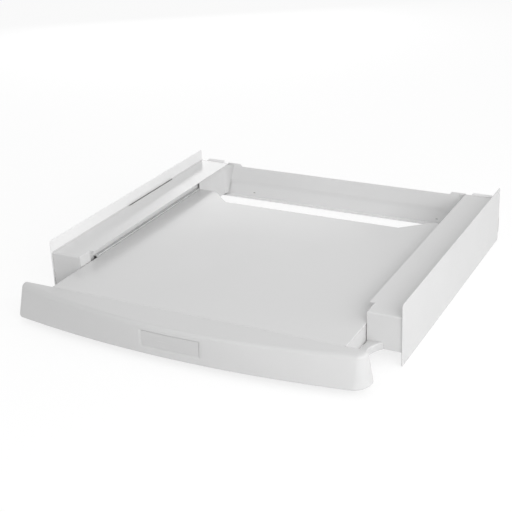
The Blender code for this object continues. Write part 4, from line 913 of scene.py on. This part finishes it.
patches = [
    (tray, None, False),
    fold(tray[:, 0], (0, -1, 0), DOWN, SHELF_FRONT_HEIGHT, widen=(SHELF_SIDE_BEND,) * 2,
         radius=SHELF_FRONT_BEND),
    hemmed_side(tray[-1]),
    hemmed_side(tray[0]),
    fold(rear_edge, (0, 1, 0), DOWN, SHELF_REAR_HEIGHT),
]
shelf = sheet_piece("shelf_tray", patches, shelf_coat, UP, SHELF_SHEET)
place_on(shelf, "shelf", "shelf_enamel", "shelf_panel")


# Stiffeners. Top-hat sections, folded from coated strip of the shelf's gauge and spot welded across
# the underside of the tray.
STIFFENER_Y = {"front": -0.11285, "rear": 0.03715}
STIFFENER_HALF_LENGTH = 0.205
STIFFENER_STATIONS = 165
STIFFENER_HEIGHT = 0.015
STIFFENER_EDGE_ROUND = 0.0002
CROWN_HALF = 0.015
BRIM_HALF = 0.027
# More matt than the tray above, with a thinner coat, as the spray reached it less.
under_coat = powder_coat("powder_coat_white_underside", "#dedede", "#cecece", 0.36)
brim_z = SHELF_Z - SHELF_SHEET - GAP - SHELF_SHEET
crown_z = brim_z + SHELF_SHEET - STIFFENER_HEIGHT
xs = stations(np.linspace(-STIFFENER_HALF_LENGTH, STIFFENER_HALF_LENGTH, STIFFENER_STATIONS))[:, None]
for label, y in STIFFENER_Y.items():
    corners = [(y - BRIM_HALF, brim_z), (y - CROWN_HALF, brim_z), (y - CROWN_HALF, crown_z),
               (y + CROWN_HALF, crown_z), (y + CROWN_HALF, brim_z), (y + BRIM_HALF, brim_z)]
    path = with_support(round_corners(corners, (BEND,) * 4))
    hat = sheet_piece(label + "_hat_section", [(xyz(xs, *path.T), None, False)], under_coat, DOWN,
                      SHELF_SHEET, edge=STIFFENER_EDGE_ROUND)
    place_on(hat, "shelf", "enamel", label + "_stiffener")


# Front moulding. The pull handle of the shelf: a hollow shell of white ABS, 2.5 mm thick and open
# below, injection moulded with a satin blasted face and screwed to the tray's front flange.
MOULDING_REAR_Y = -0.26085
MOULDING_LOW, MOULDING_HIGH = 0.011, 0.059
CREASE_Z = 0.053
FACE_Z = MOULDING_LOW + 0.0015
FACE_DEPTH = 0.02
MOULDING_WALL = 0.0025
MOULDING_SHARP = 40
REAR_ROUND = 0.0012
MOULDING_MID_X = -0.0045
BOTTOM_SHAPES = (0.2950, -0.31345, 1.70, 0.0141), (0.2910, -0.31345, 1.70, 0.0260)
CREASE_SHAPES = (0.2945, -0.31235, 1.14, 0.0141), (0.2841, -0.31235, 1.14, 0.0175)
TOP_ROUND = (0.005, 0.014, 0.005)
LEVELS_LOW = (0.0133, 0.0145, 0.0160, 0.0200)
LEVELS_INLAY = (0.026, 0.046)
LEVELS_HIGH = (0.0503, 0.0518)
CORNER_STEPS = 16
INLAY_HALF = 0.0485
INLAY_Z = (0.0232, 0.0488)
RECESS = 0.0006
RECESS_EDGE = 0.0008
SAME_X = 0.060
END_ROUND = 0.005
END_ROUND_TOP = MOULDING_LOW + END_ROUND * math.sin(math.radians(60))


def moulded_plastic(name, colour, shade_colour, roughness):
    """Moulded plastic: satin from a blasted mould, with a grain of 0.9 mm pitch, which is coarser
    than the real one so that it shows.

    Faint flow marks, 70 mm apart and drawn out along x, change its tone and gloss. Its edges are
    rubbed lighter, and it is darker where its corners hide the open sky: painted shade, with faint dust.
    """
    made, tree, shader, place = surface_of(name)
    grain = add(tree, "TexNoise", {"Vector": place, "Scale": 1100.0, "Detail": 3.0, "Roughness": 0.6})
    long_way = add(tree, "Mapping", {"Vector": place, "Scale": (0.35, 1.0, 1.6)})
    flow = add(tree, "TexNoise", {"Vector": long_way, "Scale": 14.0, "Detail": 3.0, "Distortion": 0.4})
    edge, corner = edges_and_corner_shade(tree, 0.0012, 0.010)
    coat = layered(tree, colour, (flow, (0.3, 0.7), (0, 0.3), shade_colour),
                   # painted shade: the plastic turns darker where corners hide the open sky, with faint dust
                   (edge, (0.99, 0.85), (0, 0.5), "#ececec"), (corner, (0.7, 0.2), (0, 0.2), "#b6b4b0"))
    finish(tree, shader, coat, (flow, (0.3, 0.7), (roughness - 0.04, roughness + 0.06)),
           (0.3, 0.00005, grain), IOR=1.52)
    return made


def round_width(share):
    """Width of the moulding's top round: it grows with the square of the way to the corner."""
    return TOP_ROUND[0] + (TOP_ROUND[1] - TOP_ROUND[0]) * share ** 2


def bow_half(shape, shares):
    """Right half of the plan outline: the front's wide arc, a corner arc, then straight to the rear.

    shares run from 0 to 2: up to 1 they are the same x at each level, past 1 they stretch to the
    start of that level's corner.
    """
    half, front_y, bow, corner = shape
    centre_y = front_y + bow
    swing = math.asin((half - corner) / (bow - corner))
    corner_x = bow * math.sin(swing)
    x = np.where(shares <= 1, shares * SAME_X, SAME_X + (shares - 1) * (corner_x - SAME_X))
    wide = np.column_stack([x, centre_y - np.sqrt(bow ** 2 - x ** 2)])
    centre = (half - corner, centre_y - (bow - corner) * math.cos(swing))
    turned = arc(centre, corner, math.degrees(swing) - 90, 0, CORNER_STEPS)[1:]
    end = np.column_stack([np.full(5, half), np.linspace(centre[1], MOULDING_REAR_Y - REAR_ROUND, 6)[1:]])
    corner_end = arc((half - REAR_ROUND, MOULDING_REAR_Y - REAR_ROUND), REAR_ROUND, 0, 90, 4)[1:]
    return np.vstack([wide, turned, end, corner_end])


def drawn_in(half_outline, wide_count, wall, inset, z=MOULDING_HIGH):
    """A half outline moved in along its own normal, by the wall and by inset times what is left of
    the top round's width; that grows with the square of x to the corner and shrinks round it.

    Low down the end is drawn in as well, by a circle in z: radius less the root of radius squared
    less what z lacks squared, growing round the corner from nothing."""
    step = np.gradient(half_outline, axis=0)
    inward = np.column_stack([-step[:, 1], step[:, 0]])
    inward /= np.linalg.norm(inward, axis=1)[:, None]
    inward[0] = (0, 1)
    inward[wide_count + CORNER_STEPS:] = (-1, 0)
    count = np.arange(len(half_outline))
    width = round_width(half_outline[:, 0] / half_outline[wide_count - 1, 0])
    round_share = np.clip((count - wide_count + 1) / CORNER_STEPS, 0, 1)
    width = np.where(count < wide_count, width, TOP_ROUND[1] + (TOP_ROUND[2] - TOP_ROUND[1]) * round_share)
    low_round = END_ROUND - math.sqrt(END_ROUND ** 2 - max(END_ROUND_TOP - z, 0) ** 2)
    low_round = low_round * round_share ** 2 * (3 - 2 * round_share)
    moved = half_outline + inward * (wall + (width - wall) * inset + low_round)[:, None]
    moved[:, 1] = np.minimum(moved[:, 1], half_outline[:, 1].max() - wall)
    return moved


def row_at(halves, wall, inset, z, height=None):
    """A row of the moulding: both half outlines drawn in and joined, from the left rear corner round
    the front to the right one."""
    left, right = (drawn_in(half, count, wall, inset, z) for half in halves)
    return xyz(*np.vstack([(left * (-1, 1))[:0:-1], right]).T, z if height is None else height)


def face_y(x, z):
    """Depth of the moulding's front face: the two bows blended by height."""
    share = (z - FACE_Z) / (CREASE_Z - FACE_Z)
    lower, upper = (shapes[0][1] + shapes[0][2] - np.sqrt(shapes[0][2] ** 2 - x ** 2)
                    for shapes in (BOTTOM_SHAPES, CREASE_SHAPES))
    return lower + (upper - lower) * share


def skin(wall, levels):
    """Rows of the moulding's skin, set in by wall: up its sides by levels, with the inlay's recess
    sunk into the outer face over a sloped edge, then a quarter turn over its top round."""
    rows = []
    for z in levels:
        share = max((z - FACE_Z) / (CREASE_Z - FACE_Z), 0)
        row = row_at([b + (c - b) * share for b, c in zip(bottoms, creases)], wall, 0, z)
        if not wall:
            inside = np.minimum(INLAY_HALF - np.abs(row[:, 0]), min(z - INLAY_Z[0], INLAY_Z[1] - z))
            on_face = row[:, 1] < MOULDING_REAR_Y - FACE_DEPTH
            row[:, 1] += RECESS * np.where(on_face, np.clip(inside / RECESS_EDGE, 0, 1), 0)
        rows.append(row)
    for angle in np.radians(np.linspace(0, 90, 13)[1:]):
        rows.append(row_at(creases, wall, 1 - math.cos(angle), MOULDING_HIGH,
                           CREASE_Z + (MOULDING_HIGH - wall - CREASE_Z) * math.sin(angle)))
    return rows


# A soft neutral white, a shade below the coats, which keeps the bow's highlight broad.
white_plastic = moulded_plastic("injection_moulded_abs", "#dadada", "#d2d2d2", 0.32)
inlay_shares = np.array([INLAY_HALF - RECESS_EDGE, INLAY_HALF]) / SAME_X
# Columns: even ones to the inlay, one at each side of its recess's edge, then even ones to the corner.
shares = stations(np.linspace(0, 0.78, 8), inlay_shares, 0.9, 1, np.linspace(1, 2, 33))
count = len(shares)
bottoms = [bow_half(shape, shares) for shape in BOTTOM_SHAPES]
creases = [bow_half(shape, shares) for shape in CREASE_SHAPES]
zs = stations(MOULDING_LOW + MOULDING_WALL / 2, LEVELS_LOW, INLAY_Z[0], INLAY_Z[0] + RECESS_EDGE,
              np.linspace(*LEVELS_INLAY, 5), INLAY_Z[1] - RECESS_EDGE, INLAY_Z[1], LEVELS_HIGH, CREASE_Z)
rim = [row_at(bottoms, MOULDING_WALL / 2 * (1 - math.cos(angle)), 0,
              MOULDING_LOW + MOULDING_WALL / 2 * (1 - math.sin(angle)))
       for angle in np.radians(np.linspace(180, 0, 9)[1:-1])]
grid = np.array([*skin(MOULDING_WALL, zs)[::-1], *rim, *skin(0, zs)]) + (MOULDING_MID_X, 0, 0)
moulding = mesh_piece("handle_shell", [(grid, None, True)], white_plastic, caps=(grid[0], grid[-1]),
                      sharp=MOULDING_SHARP)
place_on(moulding, "shelf", "moulding_plastic", "front_moulding")


# Ribs and bosses inside the moulding, of the same ABS and drawn with the shell in one shot of the
# mould: eight ribs that brace the face, and four hollow bosses that take the screws.
RIB_THICKNESS = 0.002
RIB_X = (0.0600, 0.1199, 0.1801, 0.2351)
RIB_Z = (0.019, 0.0505)
RIB_SHOULDER = (0.35, 0.0555)
RIB_TOP_Z = 0.0572
RIB_SUNK = 0.6
RIB_REAR_GAP = 0.001
ROUND_END_X = 0.274
RIB_SHARP = 35
BOSS_X = (-0.1999, -0.0899, 0.0899, 0.1999)
BOSS_Z = 0.044
BOSS_LENGTH = 0.014
BOSS_ROUND = 0.0003
BOSS_FOOT = 0.001
BOSS_RADII = (0.0045, 0.0045, 0.0042, 0.0022, 0.0019, 0.0019)
parts, ends = [], []
z = np.linspace(*RIB_Z, 8)
for x in [side * place for side in SIDES.values() for place in RIB_X]:
    y = face_y(x - MOULDING_MID_X, z) + MOULDING_WALL * RIB_SUNK
    bend_in = round_width(x / ROUND_END_X)
    shoulder = [(y[-1] + bend_in * RIB_SHOULDER[0], RIB_SHOULDER[1]), (y[-1] + bend_in, RIB_TOP_Z)]
    rear = [(MOULDING_REAR_Y - RIB_REAR_GAP, RIB_TOP_Z), (MOULDING_REAR_Y - RIB_REAR_GAP, RIB_Z[0])]
    outline = np.vstack([np.column_stack([y, z]), shoulder, rear])
    slab = xyz(np.array([[x - RIB_THICKNESS / 2], [x + RIB_THICKNESS / 2]]), *outline.T)
    parts.append((slab, None, True))
    ends += [slab[0], slab[1]]
turn = np.linspace(0, 2 * math.pi, 40, endpoint=False)
radius = np.array(BOSS_RADII)[:, None]
depth = np.array([BOSS_FOOT, BOSS_LENGTH - BOSS_ROUND, BOSS_LENGTH])
depth = np.concatenate([depth, depth[::-1]])[:, None]
for x in BOSS_X:
    tube = xyz(x + radius * np.cos(turn), MOULDING_REAR_Y - depth, BOSS_Z + radius * np.sin(turn))
    parts.append((np.concatenate([tube, tube[:1]]), None, True))
ribs = mesh_piece("handle_ribs_and_bosses", parts, white_plastic, caps=ends, sharp=RIB_SHARP)
place_on(ribs, "shelf", "moulding_plastic", "front_moulding")


# Arms of the moulding. Low ABS shells, open below, that run back beside the shelf and stop on the
# channels' front faces; drawn in to a waist, their tops slope down towards the shelf.
ARM_INNER_X = 0.2456
ARM_Y = (-0.18565, -0.2600)
ARM_LOW, ARM_HIGH = 0.0215, 0.033
ARM_FALL = 0.0018
ARM_STOP_X = CHANNEL_INNER_X + 0.0247
ARM_ROOT_X = CHANNEL_INNER_X + 0.034
ARM_WAIST = 0.016
ARM_WAIST_SHARE = 0.45
ARM_WALL = 0.0022
ARM_CORNERS = (0.0024, 0.0026)
ARM_EDGE_ROUND = 0.0006
share = np.linspace(0, 1, 33)
skew = share ** (math.log(0.5) / math.log(ARM_WAIST_SHARE))
arm_outer = ARM_STOP_X + (ARM_ROOT_X - ARM_STOP_X) * share - ARM_WAIST * np.sin(math.pi * skew)
arm_ys = ARM_Y[0] + (ARM_Y[1] - ARM_Y[0]) * share
paths = [round_corners([(ARM_INNER_X, ARM_LOW), (ARM_INNER_X, ARM_HIGH - ARM_FALL), (outer, ARM_HIGH),
                        (outer, ARM_LOW)], ARM_CORNERS, steps=6) for outer in arm_outer]
arm_x, arm_z = np.moveaxis(paths, -1, 0)
for label, side in SIDES.items():
    grid = xyz(side * arm_x, arm_ys[:, None], arm_z)
    arm = sheet_piece(label + "_handle_arm", [(grid, None, False)], white_plastic, UP, ARM_WALL,
                      edge=ARM_EDGE_ROUND, segments=3, angle=55, caps=(grid[0],))
    place_on(arm, "shelf", "moulding_plastic", "front_moulding")


# Inlay. A blank strip of satin polycarbonate, 0.3 mm thick, die cut with small round corners and
# pressed on its adhesive into the recess of the face.
INLAY_THICKNESS = 0.0003
INLAY_GAP = 0.0003
INLAY_ROUND = 0.00012
INLAY_CORNER = (0.0010, 0.0002)
INLAY_INSETS = np.array([0.0108, 0.008, 0.005, 0.002])
LONG_SIDE = 0.01


def divided_outline(low, high, radius, along=24):
    """A rounded outline whose long sides are divided, so that it can follow a curved face."""
    corners = rounded_outline(low, high, radius, steps=6)
    runs = []
    for a, b in zip(corners, np.roll(corners, -1, axis=0)):
        pieces = along if abs(b[0] - a[0]) > LONG_SIDE else 1
        runs.append(a + (b - a) * np.linspace(0, 1, pieces + 1)[:-1, None])
    return np.vstack(runs)


# A step darker than the ABS and as satin, so that the strip shows by its outline alone.
inlay_plastic = moulded_plastic("satin_polycarbonate_inlay", "#d4d4d4", "#cdcdcd", 0.34)
edge = INLAY_HALF - INLAY_GAP - RECESS_EDGE
low = np.array([-edge, INLAY_Z[0] + INLAY_GAP + RECESS_EDGE])
high = np.array([edge, INLAY_Z[1] - INLAY_GAP - RECESS_EDGE])
inset, depth = plate_rows(INLAY_THICKNESS, INLAY_ROUND)
inset = np.concatenate([INLAY_INSETS, inset, INLAY_INSETS[::-1]])
depth = np.pad(depth, len(INLAY_INSETS), mode="edge")
rows = []
for i, d in zip(inset, depth):
    x, z = divided_outline(low + i, high - i, max(INLAY_CORNER[0] - i, INLAY_CORNER[1])).T
    rows.append(xyz(x + MOULDING_MID_X, face_y(x, z) + RECESS - GAP - INLAY_THICKNESS + d, z))
inlay = mesh_piece("handle_inlay", [(np.array(rows), None, True)], inlay_plastic, caps=(rows[0], rows[-1]))
place_on(inlay, "shelf", "inlay_plastic", "front_inlay")


# Moulding screws. The same zinc-plated pan heads, driven from behind through the tray's front flange
# into the moulding's bosses.
MOULDING_SCREW_LENGTH = 0.009
for k, x in enumerate(BOSS_X):
    screw_piece("moulding_screw_" + str(k + 1), (x, SHELF_FRONT + SHELF_SHEET + GAP, BOSS_Z), (0, -1, 0),
                MOULDING_SCREW_LENGTH, "shelf")


# Studio. A pale floor that runs on as the backdrop, and soft lamps: a key from the right front, one
# low at the right, and a panel low behind the left, which the enamel mirrors. Each lamp is its width
# and height in metres, its watts, and the degrees that it rises and that it swings from +X to the front.
LAMP_DISTANCE = 2.2
FILL = 0.57
FLOOR_HALF = 30
FLOOR_SHOWN_WHITE = 0.75
FLOOR_WHITE = 1.08
WHITE = (1, 1, 1, 1)
LAMPS = {
    "key": (1.3, 1.3, 17.0, 30, 43),
    "side": (1.0, 1.0, 7.2, 20, 0),
    "back_panel": (1.2, 0.6, 4.0, 13, -123),
}


def stand(made, *axes_and_place):
    """Stands an object at a place, with its own axes along three directions."""
    matrix = np.eye(4)
    matrix[:3] = np.column_stack(axes_and_place)
    made.matrix_world = Matrix(matrix.tolist())
    return made


def seen_directly(tree):
    """A light path's outputs, and how far a ray comes from the camera or off a gloss."""
    rays = add(tree, "LightPath").outputs
    return rays, add(tree, "Math", {0: rays["Is Camera Ray"], 1: rays["Is Glossy Ray"]}, operation="MAXIMUM")


# The surroundings are white where they are seen, and light the object less than that.
world = bpy.data.worlds.new("studio")
bpy.context.scene.world = world
world.use_nodes = True
tree = world.node_tree
rays, seen = seen_directly(tree)
seen = add(tree, "Math", {0: seen, 1: rays["Is Transmission Ray"]}, operation="MAXIMUM")
strength = add(tree, "MapRange", {"Value": seen, "To Min": FILL, "To Max": 1.0})
feed(tree, tree.nodes["Background"], {"Color": WHITE, "Strength": strength})

# Matt white paper, which glows softly where it is seen so that the floor's end can't be made out.
floor_mesh = bpy.data.meshes.new("floor")
corners = [(x * FLOOR_HALF, y * FLOOR_HALF, 0) for x, y in ((-1, -1), (1, -1), (1, 1), (-1, 1))]
floor_mesh.from_pydata(corners, [], [(0, 1, 2, 3)])
floor = in_scene("floor", floor_mesh)
paper, tree, shader, place = surface_of("white_backdrop_paper")
feed(tree, shader, {"Base Color": linear("#f6f6f6"), "Roughness": 0.9})
shown = add(tree, "Math", {0: seen_directly(tree)[1], 1: FLOOR_SHOWN_WHITE}, operation="MULTIPLY")
white = add(tree, "Emission", {"Color": WHITE, "Strength": FLOOR_WHITE})
mixed = add(tree, "MixShader", {0: shown, 1: shader, 2: white})
feed(tree, tree.nodes["Material Output"], {"Surface": mixed})
floor_mesh.materials.append(paper)

for label, (width, height, power, rise, swing) in LAMPS.items():
    lamp = bpy.data.lights.new(label, "AREA")
    lamp.shape = "RECTANGLE"
    lamp.size, lamp.size_y, lamp.energy = width, height, power
    rise, swing = math.radians(rise), math.radians(swing)
    toward = np.array([math.cos(rise) * math.cos(swing), -math.cos(rise) * math.sin(swing), math.sin(rise)])
    axis_x = np.cross((0, 0, 1), toward)
    axis_x /= np.linalg.norm(axis_x)
    axis_y = np.cross(toward, axis_x)
    stand(in_scene(label, lamp), axis_x, axis_y, toward, toward * LAMP_DISTANCE)


# Camera, at the photograph's place: the object seen from the right front, from above and a little
# turned. Its place and angles were fitted to edges measured in the photograph.
CAMERA_PLACE = (0.7448, -1.45355, 0.7693)
YAW, PITCH, ROLL = (math.radians(angle) for angle in (27.885, 23.907, -2.387))
FOCAL_PIXELS = 1082.2
PHOTO_PIXELS = 512
forward = np.array([-math.sin(YAW) * math.cos(PITCH), math.cos(YAW) * math.cos(PITCH), -math.sin(PITCH)])
level = np.array([math.cos(YAW), math.sin(YAW), 0])
upright = np.cross(level, forward)
right = level * math.cos(ROLL) + upright * math.sin(ROLL)
up = -level * math.sin(ROLL) + upright * math.cos(ROLL)
view = bpy.data.cameras.new("photo_view")
view.sensor_width = 36
view.lens = FOCAL_PIXELS / PHOTO_PIXELS * view.sensor_width
camera = bpy.context.scene.camera = stand(in_scene("photo_view", view), right, up, -forward, CAMERA_PLACE)
bpy.context.scene.view_settings.view_transform = "Standard"
